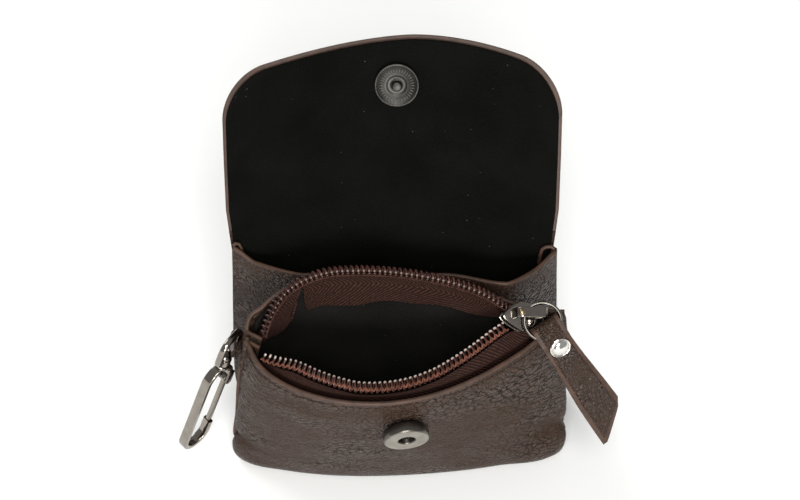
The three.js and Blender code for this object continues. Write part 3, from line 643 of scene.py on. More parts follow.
@dataclass(frozen=True)
class HerringboneTape:
    """Woven polyester zip tape: it gives the eye slanted ribs that meet in a spine, with a soft sheen."""

    name: str = "herringbone_polyester_tape"
    top: str = "#442920"
    deep: str = "#1a0e0b"
    # Real ribs lie about 0.7 mm apart; they are drawn nearly twice as far apart, so that they show
    rib: float = 0.7
    coarser: float = 1.8
    spine: float = 6.4
    slant: float = 1.25

    def build(self) -> bpy.types.Material:
        """Makes the tape's material.

        Returns:
            The material.
        """
        material, tree, shader = new_material(self.name)
        grain = add_node(tree, Kind.GRAIN, uv_map="grain")
        place = add_node(tree, Kind.AXES, {0: grain})
        side = add_node(tree, Kind.MATH, {0: place.outputs[1], 1: self.spine}, operation="SUBTRACT")
        from_spine = add_node(tree, Kind.MATH, {0: side}, operation="ABSOLUTE")
        count = add_node(tree, Kind.MATH, {0: from_spine, 1: self.slant, 2: place}, operation="MULTIPLY_ADD")
        angle = add_node(tree, Kind.MATH, {0: count, 1: TURN / (self.rib * self.coarser)},
                         operation="MULTIPLY")
        wave = add_node(tree, Kind.MATH, {0: angle}, operation="SINE")
        rib = add_node(tree, Kind.RANGE, {"Value": wave, "From Min": -0.8, "From Max": 0.9},
                       interpolation_type="SMOOTHSTEP")
        yarn = add_node(tree, Kind.VECTOR, {0: grain, 1: per_cell(self.rib, self.rib)}, operation="MULTIPLY")
        fray = add_node(tree, Kind.NOISE, {"Vector": yarn, "Scale": 1.0, "Detail": 3.0})
        height = add_node(tree, Kind.MATH, {0: fray, 1: 0.35, 2: rib}, operation="MULTIPLY_ADD")
        whole = add_node(tree, Kind.RANGE, {"Value": fray, "From Min": 0.2, "From Max": 0.75},
                         interpolation_type="SMOOTHSTEP")
        lit = add_node(tree, Kind.MATH, {0: rib, 1: whole}, operation="MULTIPLY")
        colour = add_node(tree, Kind.MIX, {
            "Factor": lit, MIX_FIRST: linear(self.deep), MIX_SECOND: linear(self.top)}, data_type="RGBA")
        relief = add_node(tree, Kind.BUMP, {"Strength": 0.8, "Distance": 0.3 * MM, "Height": height})
        feed(tree, shader, {"Base Color": colour.outputs[MIX_COLOUR], "Roughness": 0.7,
                            "Specular IOR Level": 0.12, "Normal": relief})
        return material


@dataclass(frozen=True)
class SewingThread:
    """Dyed and bonded polyester thread: it gives the eye a smooth, dull line of uneven tone."""

    name: str
    light: str
    dark: str
    roughness: float
    patch: float = 2.2

    def build(self) -> bpy.types.Material:
        """Makes the thread's material.

        Returns:
            The material.
        """
        material, tree, shader = new_material(self.name)
        spot = add_node(tree, Kind.COORDINATES)
        tone = add_node(tree, Kind.NOISE, {
            "Vector": spot.outputs["Object"], "Scale": 1 / (self.patch * MM), "Detail": 2.0})
        rough = add_node(tree, Kind.MATH, {0: tone, 1: 0.15, 2: self.roughness}, operation="MULTIPLY_ADD")
        feed(tree, shader, {"Base Color": mottled(tree, tone, self.dark, self.light), "Roughness": rough,
                            "Specular IOR Level": 0.2})
        return material


@dataclass(frozen=True)
class CoilPolyester:
    """Dyed polyester monofilament, wound and flattened, with a gloss and lighter bands on its turns that are
    painted highlights.
    """

    name: str
    body: str
    deep: str
    # Colour of the painted highlights on each turn
    worn: str
    highlight_at: tuple[float, ...]
    highlight_width: float
    roughness: float = 0.34

    def build(self) -> bpy.types.Material:
        """Makes the coil's material, which counts its turns along the grain and paints highlights at set
        places on each turn.

        Returns:
            The material.
        """
        material, tree, shader = new_material(self.name)
        grain = add_node(tree, Kind.GRAIN, uv_map="grain")
        place = add_node(tree, Kind.AXES, {0: grain})
        # Painted highlights: lighter bands at set places on each turn of the coil
        painted_highlight_mask: Feed = 0.0
        for at in self.highlight_at:
            ahead = add_node(tree, Kind.MATH, {0: place.outputs[1], 1: 0.5 - at}, operation="ADD")
            turn = add_node(tree, Kind.MATH, {0: ahead}, operation="FRACT")
            side = add_node(tree, Kind.MATH, {0: turn, 1: 0.5}, operation="SUBTRACT")
            away = add_node(tree, Kind.MATH, {0: side}, operation="ABSOLUTE")
            top = add_node(tree, Kind.RANGE, {
                "Value": away, "From Min": self.highlight_width, "From Max": self.highlight_width * 0.35},
                interpolation_type="SMOOTHSTEP")
            painted_highlight_mask = add_node(tree, Kind.MATH, {0: painted_highlight_mask, 1: top}, operation="ADD")
        cell = add_node(tree, Kind.VECTOR, {0: grain, 1: per_cell(1.0, 3.0)}, operation="MULTIPLY")
        tone = add_node(tree, Kind.NOISE, {"Vector": cell, "Scale": 1.0, "Detail": 2.0})
        base = mottled(tree, tone, self.deep, self.body)
        colour = add_node(tree, Kind.MIX, {
            "Factor": painted_highlight_mask, MIX_FIRST: base, MIX_SECOND: linear(self.worn)}, data_type="RGBA")
        feed(tree, shader, {"Base Color": colour.outputs[MIX_COLOUR], "Roughness": self.roughness,
                            "Specular IOR Level": 0.35})
        return material


@dataclass(frozen=True)
class PlatedZinc:
    """Die-cast zinc with a plate: it gives the eye a dark mirror with handling marks and faint waves."""

    name: str
    bright: str
    dull: str
    roughness: float
    smear: float = 4.0
    mark: float = 0.35

    def build(self) -> bpy.types.Material:
        """Makes the plated metal's material.

        Returns:
            The material.
        """
        material, tree, shader = new_material(self.name)
        spot = add_node(tree, Kind.COORDINATES)
        smears = add_node(tree, Kind.NOISE, {
            "Vector": spot.outputs["Object"], "Scale": 1 / (self.smear * MM), "Detail": 5.0})
        marks = add_node(tree, Kind.NOISE, {
            "Vector": spot.outputs["Object"], "Scale": 1 / (self.mark * MM), "Detail": 2.0})
        rough = add_node(tree, Kind.MATH, {0: marks, 1: 0.1, 2: self.roughness}, operation="MULTIPLY_ADD")
        relief = add_node(tree, Kind.BUMP, {"Strength": 0.15, "Distance": 0.05 * MM, "Height": smears})
        feed(tree, shader, {"Base Color": mottled(tree, smears, self.dull, self.bright), "Metallic": 1.0,
                            "Roughness": rough, "Normal": relief})
        return material


@dataclass(frozen=True)
class SeamlessPaper:
    """White backdrop paper: it gives the eye a matt white with a barely visible tooth."""

    name: str = "white_backdrop_paper"
    white: str = "#fafaf8"
    tooth: float = 1.2

    def build(self) -> bpy.types.Material:
        """Makes the paper's material.

        Returns:
            The material.
        """
        material, tree, shader = new_material(self.name)
        spot = add_node(tree, Kind.COORDINATES)
        tooth = add_node(tree, Kind.NOISE, {
            "Vector": spot.outputs["Object"], "Scale": 1 / (self.tooth * MM), "Detail": 2.0})
        relief = add_node(tree, Kind.BUMP, {"Strength": 0.05, "Distance": 0.05 * MM, "Height": tooth})
        feed(tree, shader, {"Base Color": linear(self.white), "Roughness": 0.9, "Normal": relief})
        return material


class Finishes:
    """The finished materials, made once and shared by the pieces."""

    def __init__(self) -> None:
        """Makes every material of the wallet."""
        self.leather = SoftLeather().build()
        self.strap = SoftLeather(
            name="pebbled_strap_leather", wrinkle_long=1.3, wrinkle_wide=1.1, pebble_long=0.8,
            pebble_wide=0.7, patch_long=16.0, patch_wide=12.0, relief=0.45, roughness=0.28, gloss=0.4).build()
        self.edge = EdgePaint().build()
        self.lining = Microsuede().build()
        self.pocket_lining = Microsuede(name="pocket_microsuede", pile="#10100e", nap="#1a1917").build()
        self.tape = HerringboneTape().build()
        # Lit and shaded copies of one coil: the front one's lighter body and light heads are painted light,
        # the back one's darker body is painted shade and its bright beads are painted glints
        self.coil_lit_highlights = CoilPolyester(
            "polyester_coil_painted_light", "#4c2d24", "#26140f", "#c4b2a8", (0.0,), 0.125).build()
        self.coil_shaded_glints = CoilPolyester(
            "polyester_coil_painted_shade_glints", "#43261f", "#1e0f0c", "#75625a", (0.18, 0.32), 0.05).build()
        # Lit and shaded copies of one thread: the back chain's darker copy is painted shade
        self.thread = SewingThread("sewing_thread", "#6f4334", "#472a20", 0.6).build()
        self.shaded_thread = SewingThread("sewing_thread_painted_shade", "#472a22", "#2f1a15", 0.6).build()
        # Near-black thread whose darkness is painted shade: it draws the crease under the front rim
        self.crease_shade_thread = SewingThread("thread_painted_crease_shade", "#0d0806", "#080504", 0.75).build()
        self.polished = PlatedZinc("polished_gunmetal_plate", "#948d85", "#857e76", 0.08).build()
        self.worn = PlatedZinc("worn_gunmetal_plate", "#6e6a64", "#5a5650", 0.24).build()
        self.tumbled = PlatedZinc("tumbled_gunmetal_plate", "#373633", "#2c2b29", 0.34).build()
        self.nickel = PlatedZinc("nickel_plated_brass", "#e9e6e0", "#d2cec8", 0.06).build()
        self.brass = PlatedZinc("pale_brass_pin", "#a08e76", "#85755f", 0.25).build()
        self.satin = PlatedZinc("satin_nickel_plate", "#a39d92", "#8f8a80", 0.3).build()


def add_piece(
    name: str,
    bm: bmesh.types.BMesh,
    finishes: Sequence[bpy.types.Material],
    slot: Slot,
    body: Body = Body.WALLET,
    stands_for: Sequence[str] = (),
    sharp: float = 40.0,
) -> bpy.types.Object:
    """Adds a finished mesh to the scene and hangs it on its body.

    Args:
        name: the piece's name.
        bm: its mesh, in metres, which is freed.
        finishes: its materials, in the order of the faces' numbers.
        slot: the record's material slot; not used.
        body: the body that it rides on.
        stands_for: the solids that it replaces.
        sharp: the angle in degrees from which an edge stays sharp.

    Returns:
        The new object.
    """
    mesh = bpy.data.meshes.new(name)
    bm.to_mesh(mesh)
    bm.free()
    mesh.shade_smooth()
    mesh.set_sharp_from_angle(angle=sharp * DEGREE)
    for finish in finishes:
        mesh.materials.append(finish)
    piece = bpy.data.objects.new(name, mesh)
    bpy.context.scene.collection.objects.link(piece)
    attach(piece, body.value)
    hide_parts(*stands_for)
    LOG.info("%s: %d faces on %s", name, len(mesh.polygons), body.value)
    return piece


def give_wall(piece: bpy.types.Object, thick: float, inner: int = 0, edge: float = 0.35) -> None:
    """Gives a sheet its thickness, with its cut edge in the next material and worn corners.

    Args:
        piece: the sheet.
        thick: the wall in millimetres, half on each side of the sheet.
        inner: how many materials on the far side's finish is.
        edge: the round of the cut edge, in millimetres.
    """
    wall = piece.modifiers.new("wall", "SOLIDIFY")
    wall.thickness = thick * MM
    wall.offset = 0.0
    wall.use_even_offset = False
    wall.material_offset = inner
    wall.material_offset_rim = 1
    worn = piece.modifiers.new("worn_edge", "BEVEL")
    worn.width = edge * MM
    worn.segments = 2
    worn.limit_method = "ANGLE"
    worn.angle_limit = 60 * DEGREE


def add_rim(name: str, points: Sequence[Vector], finish: bpy.types.Material, body: float = 1.35) -> None:
    """Adds the rolled and painted rim of a wall.

    Args:
        name: the piece's name.
        points: the rim's line, in millimetres.
        finish: its material.
        body: how thick the roll is, in millimetres.
    """
    path = [point - Vector((0, 0, 0.35)) for point in points]
    bm = swept(path, [Vector((0, 0, 1))], [rounded_bar(body * 1.1, body, body * 0.42)])
    add_piece(name, bm, [finish], Slot.LEATHER)


class BackRow(NamedTuple):
    """Height up the back panel and half of its width there."""

    run: float
    half: float


@dataclass
class BackPanel:
    """The back of the rear pocket, which runs up into the open flap, and its lining."""

    finishes: Finishes
    back_y: float = 18.0
    bend_start: float = 70.0
    bend_radius: float = 16.0
    lean: float = 28 * DEGREE
    flap_length: float = 64.6
    foot: float = 0.7
    peak_x: float = 7.0
    arch_left: float = 0.019
    arch_left_power: float = 1.62
    arch_right: float = 0.0086
    arch_right_power: float = 1.9
    corner: float = 13.0
    edge_band: float = 1.1
    lining_low: float = 3.0
    lining_inset: float = 0.4
    columns: int = 96
    rows: int = 130

    rows_table = (
        BackRow(0.0, 49.0), BackRow(4.0, 51.6), BackRow(24.0, 52.2), BackRow(50.0, 51.6),
        BackRow(70.0, 50.9), BackRow(75.2, 51.3), BackRow(77.8, 51.6), BackRow(90.0, 52.4),
        BackRow(118.0, 52.6), BackRow(142.9, 52.6),
    )

    @property
    def bend_end(self) -> float:
        """The height up the panel where its bend ends."""
        return self.bend_start + self.bend_radius * self.lean

    @property
    def tip(self) -> float:
        """The height up the panel of the flap's highest point."""
        return self.bend_end + self.flap_length

    def half(self, run: float) -> float:
        """Reads the panel's width.

        Args:
            run: the height up the panel, in millimetres.

        Returns:
            Half of the width there.
        """
        for low, high in zip(self.rows_table, self.rows_table[1:]):
            if run <= high.run:
                return mix(low.half, high.half, (run - low.run) / (high.run - low.run))
        return self.rows_table[-1].half

    def top(self, x: float) -> float:
        """Works out the flap's outline.

        Args:
            x: the distance from the panel's middle, in millimetres.

        Returns:
            How far up the panel its edge lies there.
        """
        beyond = max(abs(x) - (self.rows_table[-1].half - self.corner), 0)
        drop = self.corner - math.sqrt(max(self.corner**2 - beyond**2, 0))
        if x < self.peak_x:
            arch = self.arch_left * (self.peak_x - x) ** self.arch_left_power
        else:
            arch = self.arch_right * (x - self.peak_x) ** self.arch_right_power
        return self.tip - arch - drop

    def point(self, x: float, run: float, lift: float) -> Vector:
        """Works out a point of the bent panel.

        Args:
            x: the distance from its middle line, in millimetres.
            run: the height up the panel.
            lift: how far the point lies in front of the leather's middle.

        Returns:
            The point.
        """
        turn = min(max(run - self.bend_start, 0) / self.bend_radius, self.lean)
        rest = max(run - self.bend_end, 0)
        y = self.back_y + self.bend_radius * (1 - math.cos(turn)) + rest * math.sin(turn)
        z = min(run, self.bend_start) + self.bend_radius * math.sin(turn) + rest * math.cos(turn)
        return Vector((x, y - lift * math.cos(turn), z + lift * math.sin(turn)))

    def spot(self, across: float, run: float, inset: float) -> tuple[float, float]:
        """Works out a place on the flat panel.

        Args:
            across: from -1 at the left edge to 1 at the right one.
            run: the height up the panel, before the flap's outline is met, in millimetres.
            inset: how far the place is drawn in from the edge.

        Returns:
            The distance from the middle line and the height up the panel.
        """
        half = self.half(run)
        height = run
        if run > self.bend_end:
            share = (run - self.bend_end) / self.flap_length
            height = mix(self.bend_end, self.top(across * half) - inset, share)
        return across * (half - inset), height

    def leather(self) -> None:
        """Builds the leather panel with its painted border."""
        inner_columns, inner_rows = self.columns - 2, self.rows - 1

        def place(s: float, t: float) -> Vector:
            """Places a point of the leather's middle.

            Args:
                s: the share of the way from the left side to the right one.
                t: the share of the way from the foot to the tip.

            Returns:
                The point, in millimetres.
            """
            column, row = round(s * self.columns), round(t * self.rows)
            inner = min(max(column - 1, 0), inner_columns) / inner_columns
            at_side = column in (0, self.columns)
            inset = 0.0 if at_side or row == self.rows else self.edge_band
            run = mix(self.foot, self.tip, min(row / inner_rows, 1))
            inset *= step(self.bend_start - 4, self.bend_end, run)
            x, height = self.spot(math.sin((inner - 0.5) * math.pi), run, inset)
            if at_side:
                x = math.copysign(self.half(run), s - 0.5)
            wave = 0.35 * ripple(x / 26, height / 30, 3.1) * step(0, 30, height)
            return self.point(x, height, wave)

        bm = drawn_grid(self.columns, self.rows, place)
        bm.faces.ensure_lookup_table()
        for k, face in enumerate(bm.faces):
            middle = face.calc_center_median() / MM
            if middle.z > self.bend_end and k % self.columns in (0, self.columns - 1):
                face.material_index = 1
            if k // self.columns == self.rows - 1:
                face.material_index = 1
        piece = add_piece("back_panel_leather", bm, [self.finishes.leather, self.finishes.edge],
                          Slot.LEATHER, stands_for=["back_flap"])
        give_wall(piece, LEATHER)

    def lining(self) -> None:
        """Builds the black lining in front of the panel."""

        def place(s: float, t: float) -> Vector:
            """Places a point of the lining's middle.

            Args:
                s: the share of the way from the left side to the right one.
                t: the share of the way from the lower edge to the tip.

            Returns:
                The point, in millimetres.
            """
            run = mix(self.lining_low, self.tip, t)
            inset = mix(self.lining_inset, self.edge_band, step(self.bend_start - 4, self.bend_end, run))
            x, height = self.spot(math.sin((s - 0.5) * math.pi), run, inset)
            wave = 0.12 * ripple(x / 17, height / 20, 8.7)
            return self.point(x, height, LINING_MIDDLE + wave)

        bm = drawn_grid(80, 110, place)
        piece = add_piece("back_panel_lining", bm, [self.finishes.lining, self.finishes.lining],
                          Slot.LINING, stands_for=["flap_lining"])
        give_wall(piece, CLOTH, edge=0.25)

    def tucks(self) -> None:
        """Builds the painted edges that turn in where the flap leaves the rear pocket."""
        right = ((51.2, 15.8, 74.4), (50.2, 16.0, 75.2), (48.6, 15.9, 75.2),
                 (47.4, 15.7, 74.4), (46.9, 15.4, 72.4), (46.7, 15.3, 68.0))
        left = ((-50.2, 15.8, 75.8), (-49.4, 16.0, 76.8), (-48.4, 15.9, 76.6),
                (-47.8, 15.6, 75.0), (-47.6, 15.4, 72.6), (-47.6, 15.3, 69.0))
        add_rim("flap_edge_tuck_right", [Vector(spot) for spot in right], self.finishes.edge, 1.1)
        add_rim("flap_edge_tuck_left", [Vector(spot) for spot in left], self.finishes.edge, 1.0)

    def build(self) -> None:
        """Builds the leather, its lining and the tucked edges."""
        self.leather()
        self.lining()
        self.tucks()


class RearRow(NamedTuple):
    """A level of the rear pocket's front wall, as in the solids' table."""

    z: float
    half: float
    end_y: float
    bow_left: float
    bow_right: float


@dataclass
class RearPocket:
    """The rear pocket's front wall, from its seam under the back panel to its rim."""

    finishes: Finishes
    slope_left: float = 22.0
    slope_right: float = 15.5
    slope_power: float = 1.35
    left_rise: float = 3.4
    right_rise: float = 1.7
    shift: float = 0.7
    columns: int = 150
    rows: int = 100

    rows_table = (
        RearRow(0.6, 49.4, 15.2, 0.3, 0.3), RearRow(0.6, 51.2, 15.2, 6.5, 6.8),
        RearRow(0.9, 52.6, 15.2, 9.9, 10.2), RearRow(3.6, 53.4, 15.2, 11.0, 11.2),
        RearRow(12.0, 53.7, 15.2, 10.9, 11.4), RearRow(28.0, 53.1, 15.2, 10.2, 11.5),
        RearRow(46.0, 52.2, 15.2, 9.3, 11.6), RearRow(60.0, 51.4, 15.2, 8.6, 11.7),
        RearRow(72.0, 50.8, 15.2, 8.2, 11.8),
    )

    def point(self, across: float, up: float) -> Vector:
        """Works out a point of the wall's middle.

        Args:
            across: the share of the width, from the left.
            up: the share of the wall's length, from its seam.

        Returns:
            The point.
        """
        row = row_at(self.rows_table, up)
        x = mix(-row.half, row.half, across)
        slope = min((row.half + x) / self.slope_left, (row.half - x) / self.slope_right, 1)
        full = 1 - (1 - max(slope, 0)) ** self.slope_power
        bow = mix(row.bow_left, row.bow_right, step(self.slope_right, row.half - self.slope_right, x))
        corners = self.left_rise * step(0.07, 0.0, across) + self.right_rise * step(0.94, 1.0, across)
        return Vector((x + self.shift, row.end_y - bow * full, max(row.z, FLOOR) + corners * up**6))

    def wall(self) -> None:
        """Builds the leather wall, lined on the inside."""

        def place(s: float, t: float) -> Vector:
            """Places a point of the wall with its soft folds.

            Args:
                s: the share of the way from the left end to the right one.
                t: the share of the way from the base to the rim.

            Returns:
                The point, in millimetres.
            """
            spot = self.point(crowd(s), t)
            side = step(30, 50, abs(spot.x)) * step(4, 16, spot.z)
            spot.y -= 0.22 * side * ripple(spot.x / 9 + spot.z / 11, spot.z / 5, 1.7)
            return spot

        bm = drawn_grid(self.columns, self.rows, place)
        piece = add_piece("rear_pocket_wall", bm,
                          [self.finishes.leather, self.finishes.edge, self.finishes.lining],
                          Slot.LEATHER, stands_for=["rear_wall"])
        give_wall(piece, LEATHER, inner=2)
        rim = [self.point(crowd(k / 140), 1.0) for k in range(141)]
        add_rim("rear_pocket_rim", rim, self.finishes.edge, 1.25)

    def seams(self) -> None:
        """Builds the sewn edges that close the pocket's two sides."""
        for label, across in (("left", 0.0), ("right", 1.0)):
            path = [self.point(across, mix(0.4, 1.0, k / 40)) + Vector((0, 0.9, -0.6)) for k in range(41)]
            bm = swept(path, [Vector((0, 1, 0))], [rounded_bar(1.9, 1.3, 0.5)])
            add_piece(f"rear_pocket_{label}_seam", bm, [self.finishes.leather], Slot.LEATHER)

    def build(self) -> None:
        """Builds the wall and its side seams."""
        self.wall()
        self.seams()


class PocketRow(NamedTuple):
    """A level of a zip pocket's wall, as in the solids' tables."""

    z_end: float
    z_mid: float
    x_left: float
    y_left: float
    x_right: float
    y_right: float
    bow: float
    full_left: float
    full_right: float


@dataclass
class PocketWall:
    """The shape of one wall of the zip pocket: its table and where along its width it is fullest."""

    rows_table: tuple[PocketRow, ...]
    peak: float

    def point(self, across: float, up: float) -> Vector:
        """Works out a point of the wall's middle.

        Args:
            across: the share of the width, from the left.
            up: the share of the wall's length, from its seam.

        Returns:
            The point.
        """
        row = row_at(self.rows_table, up)
        in_left = across < self.peak
        side = across / self.peak if in_left else (1 - across) / (1 - self.peak)
        full = max(1 - (1 - side) ** 2, 0) ** (row.full_left if in_left else row.full_right)
        y = mix(row.y_left, row.y_right, across) - row.bow * full
        return Vector((mix(row.x_left, row.x_right, across), y, max(mix(row.z_end, row.z_mid, full), FLOOR)))

    def rim(self, across: float) -> tuple[Vector, Vector]:
        """Works out the rim.

        Args:
            across: the share of the width, from the left.

        Returns:
            The rim's place there and the way along it.
        """
        small = 0.004
        along = self.point(min(across + small, 1), 1) - self.point(max(across - small, 0), 1)
        return self.point(across, 1), along.normalized()


FRONT_WALL = PocketWall((
    PocketRow(0.6, 0.6, -45.0, -6.0, 50.0, -4.6, -8.4, 0.6, 0.6),
    PocketRow(0.6, 0.6, -48.2, -9.4, 53.6, -7.0, 6.0, 0.6, 0.6),
    PocketRow(1.0, 0.9, -50.6, -11.2, 55.4, -8.2, 9.8, 0.6, 0.6),
    PocketRow(4.0, 3.4, -52.0, -12.0, 56.2, -8.6, 11.2, 0.6, 0.6),
    PocketRow(11.0, 10.0, -52.0, -12.2, 56.6, -8.2, 12.9, 0.6, 0.65),
    PocketRow(24.0, 22.0, -50.7, -12.3, 56.6, -6.8, 16.2, 0.6, 0.72),
    PocketRow(39.0, 35.0, -49.4, -12.3, 56.2, -5.6, 19.2, 0.6, 0.82),
    PocketRow(52.0, 47.0, -47.6, -12.3, 55.4, -4.8, 21.4, 0.6, 0.95),
    PocketRow(62.6, 56.0, -45.4, -12.3, 54.2, -4.3, 22.4, 0.6, 1.1),
), 0.44)

BACK_WALL = PocketWall((
    PocketRow(2.4, 1.9, -48.4, -8.4, 52.6, -5.2, -8.4, 0.55, 1.1),
    PocketRow(11.0, 11.0, -52.0, -11.6, 56.4, -6.3, -12.3, 0.55, 1.15),
    PocketRow(24.0, 26.0, -50.7, -11.7, 56.4, -4.9, -12.6, 0.55, 1.2),
    PocketRow(39.0, 43.0, -49.4, -11.7, 56.0, -3.7, -13.2, 0.55, 1.3),
    PocketRow(52.0, 60.0, -47.6, -11.7, 55.2, -3.0, -13.7, 0.55, 1.35),
    PocketRow(63.0, 75.5, -45.4, -11.7, 54.0, -2.6, -14.3, 0.55, 1.4),
), 0.3)


class PlanPoint(NamedTuple):
    """A place as seen from above."""

    x: float
    y: float


@dataclass
class ZipPocket:
    """The zip pocket's two leather walls and their lining."""

    finishes: Finishes
    columns: int = 190
    front_rows: int = 150
    back_rows: int = 80
    fine_from: float = 0.8
    fine_up: float = 0.93
    front_height: float = 86.0
    rim_line: float = 3.5
    line_depth: float = 0.4
    line_width: float = 0.4
    fold_depth: float = 0.34
    crease_depth: float = 0.16
    right_corner: float = 1.8
    left_corner: float = 0.8
    right_rise: float = 2.6
    front_lean: float = 0.4
    fin_top: float = 64.4
    fin_foot: float = 50.0
    stitch_pitch: float = 2.6
    stitch_long: float = 2.0
    stitch_radius: float = 0.22
    stitch_lift: float = 0.06

    def front_point(self, s: float, t: float) -> Vector:
        """Works out a point of the front wall, with its creases and the pressed line under its rim.

        Args:
            s: the share of the columns, which crowd at the ends.
            t: the share of the rows, which crowd under the rim.

        Returns:
            The point.
        """
        if t < self.fine_from:
            up = t * self.fine_up / self.fine_from
        else:
            up = mix(self.fine_up, 1.0, (t - self.fine_from) / (1 - self.fine_from))
        across = crowd(s)
        spot = FRONT_WALL.point(across, up)
        from_rim = (1 - up) * self.front_height
        loose = step(2, 12, spot.z) * step(2.5, 8, from_rim)
        slanted = spot.z + 0.35 * spot.x * step(5, 45, spot.x)
        soft = (self.fold_depth * ripple(spot.x / 17, slanted / 6, 5.2)
                + self.crease_depth * ripple(spot.x / 7, slanted / 2.4, 9.4))
        right = step(0.86, 1.0, across)
        end = right + step(0.1, 0.0, across)
        pressed = self.line_depth * bump(from_rim, self.rim_line, self.line_width)
        spot.y -= loose * soft - pressed
        belly = 0.5 * bump(spot.z, 7, 4) - 1.5 * bump(spot.z, 14, 2.5) - 0.9 * bump(spot.z, 40, 16)
        tucks = 0.25 * loose * ripple(1.3, spot.z / 1.9, 4.4)
        spot.x += math.copysign(1, spot.x) * end * (belly + tucks)
        corners = self.right_corner * step(0.8, 0.95, across) + self.left_corner * step(0.15, 0.04, across)
        spot.y -= corners * step(16, 4, spot.z)
        spot.z += self.right_rise * right * step(0.75, 1.0, up)
        return spot + self.left_lean(across, up) * self.front_lean

    def left_lean(self, across: float, up: float) -> Vector:
        """Returns how far the walls' left ends stand up and back at the seam."""
        return Vector((0, 2.4 * step(0.5, 1.0, up), 1.8 * step(0.7, 1.0, up))) * step(0.05, 0.0, across)

    def back_point(self, s: float, t: float) -> Vector:
        """Works out a point of the back wall.

        Args:
            s: the share of the columns, which crowd at the ends.
            t: the share of the rows.

        Returns:
            The point.
        """
        across = crowd(s)
        spot = BACK_WALL.point(across, t)
        spot.z += self.right_rise * step(0.9, 1.0, across) * step(0.75, 1.0, t)
        return spot + self.left_lean(across, t)

    def front(self) -> None:
        """Builds the front wall and its rim."""
        bm = drawn_grid(self.columns, self.front_rows, self.front_point)
        piece = add_piece("zip_pocket_front", bm, [self.finishes.leather, self.finishes.edge],
                          Slot.LEATHER, stands_for=["zip_front"])
        give_wall(piece, LEATHER)
        rim = [self.front_point(k / 150, 1.0) for k in range(151)]
        add_rim("zip_pocket_front_rim", rim, self.finishes.edge)

    def stitches(self) -> None:
        """Builds the row of near-black stitches in the pressed line under the front rim, whose near-black
        paints the crease's shade.
        """
        up = 1 - self.rim_line / self.front_height
        level = mix(self.fine_from, 1.0, (up - self.fine_up) / (1 - self.fine_up))
        proud = LEATHER / 2 + self.stitch_lift
        line = [lifted(self.front_point, mix(0.01, 0.99, k / 600), level, proud) for k in range(601)]
        gone = lengths(line)
        section = round_section(self.stitch_radius, 6)
        threads = []
        for n in range(int(gone[-1] / self.stitch_pitch)):
            start = n * self.stitch_pitch
            stitch = [spot for spot, run in zip(line, gone) if start <= run < start + self.stitch_long]
            threads.append(swept(stitch, [Vector((0, 0, 1))], [section]))
        bm = joined(threads)
        # The near-black thread is painted shade: it draws the dark crease line under the rim
        add_piece("zip_pocket_front_crease_shade_stitches", bm, [self.finishes.crease_shade_thread], Slot.LEATHER)

    def back(self) -> None:
        """Builds the back wall, which stands between the two pockets, and its rim."""
        bm = drawn_grid(self.columns, self.back_rows, self.back_point)
        piece = add_piece("zip_pocket_back", bm, [self.finishes.leather, self.finishes.edge],
                          Slot.LEATHER, stands_for=["zip_back"])
        give_wall(piece, LEATHER)
        rim = [self.back_point(k / 150, 1.0) for k in range(151)]
        add_rim("zip_pocket_back_rim", rim, self.finishes.edge, 1.25)

    def fin(self, name: str, plan: Sequence[PlanPoint], drop: float) -> None:
        """Builds a wall's edge that turns into the pocket at the left seam.

        Args:
            name: the piece's name.
            plan: its line at the rim, as seen from above.
            drop: how far its top lies below the highest one, in millimetres.
        """
        top = self.fin_top - drop

        def place(s: float, t: float) -> Vector:
            """Places a point of the fin's middle.

            Args:
                s: the share of the way along the fin's line.
                t: the share of the way from its foot to its top.

            Returns:
                The point, in millimetres.
            """
            spot = row_at(plan, s)
            z = mix(self.fin_foot, top - 1.4 * s, t)
            return Vector((spot.x - 0.2 * (top - z), spot.y, z))

        bm = drawn_grid(24, 10, place)
        piece = add_piece(name, bm, [self.finishes.leather, self.finishes.edge], Slot.LEATHER)
        give_wall(piece, LEATHER * 0.85)
        add_rim(f"{name}_rim", [place(k / 24, 1.0) for k in range(25)], self.finishes.edge, 1.2)

    def seams(self) -> None:
        """Builds the turned edges at the left seam and the bound edge of the right one."""
        self.fin("seam_fin_back", (PlanPoint(-45.2, -7.2), PlanPoint(-45.5, -8.6), PlanPoint(-44.4, -9.6),
                                   PlanPoint(-42.4, -10.6), PlanPoint(-40.4, -11.6)), 0.0)
        self.fin("seam_fin_front", (PlanPoint(-44.7, -13.8), PlanPoint(-45.8, -12.7), PlanPoint(-45.0, -12.1),
                                    PlanPoint(-43.2, -12.9), PlanPoint(-41.2, -14.1)), 1.1)
        path = [self.front_point(1, mix(0.42, 1, k / 30)) + Vector((-0.3, 0.9, -self.right_rise * k / 30))
                for k in range(31)]
        top = path[-1]
        path += [top + Vector((-0.25 * k, 0.15 * k, self.right_rise * k / 4)) for k in range(1, 6)]
        sizes = [1.0] * (len(path) - 3) + [0.92, 0.75, 0.35]
        sections = [rounded_bar(2.6 * size, 1.9 * size, 0.85 * size) for size in sizes]
        bm = swept(path, [Vector((0, 1, 0))], sections)
        add_piece("zip_pocket_right_seam", bm, [self.finishes.edge], Slot.LEATHER)

    def lining(self, name: str, node: str, wall: PocketWall, lift: float, flat: tuple[float, float]) -> None:
        """Builds the lining of one wall.

        Args:
            name: the piece's name.
            node: the solid that it stands for.
            wall: the wall that it lines.
            lift: how far it lies from the wall's middle, in millimetres.
            flat: its cut width and length in millimetres; not used.
        """

        def place(s: float, t: float) -> Vector:
            """Returns a point of the pocket lining's middle."""
            return lifted(wall.point, mix(0.02, 0.96, crowd(s)), mix(0.06, 0.97, t), lift)

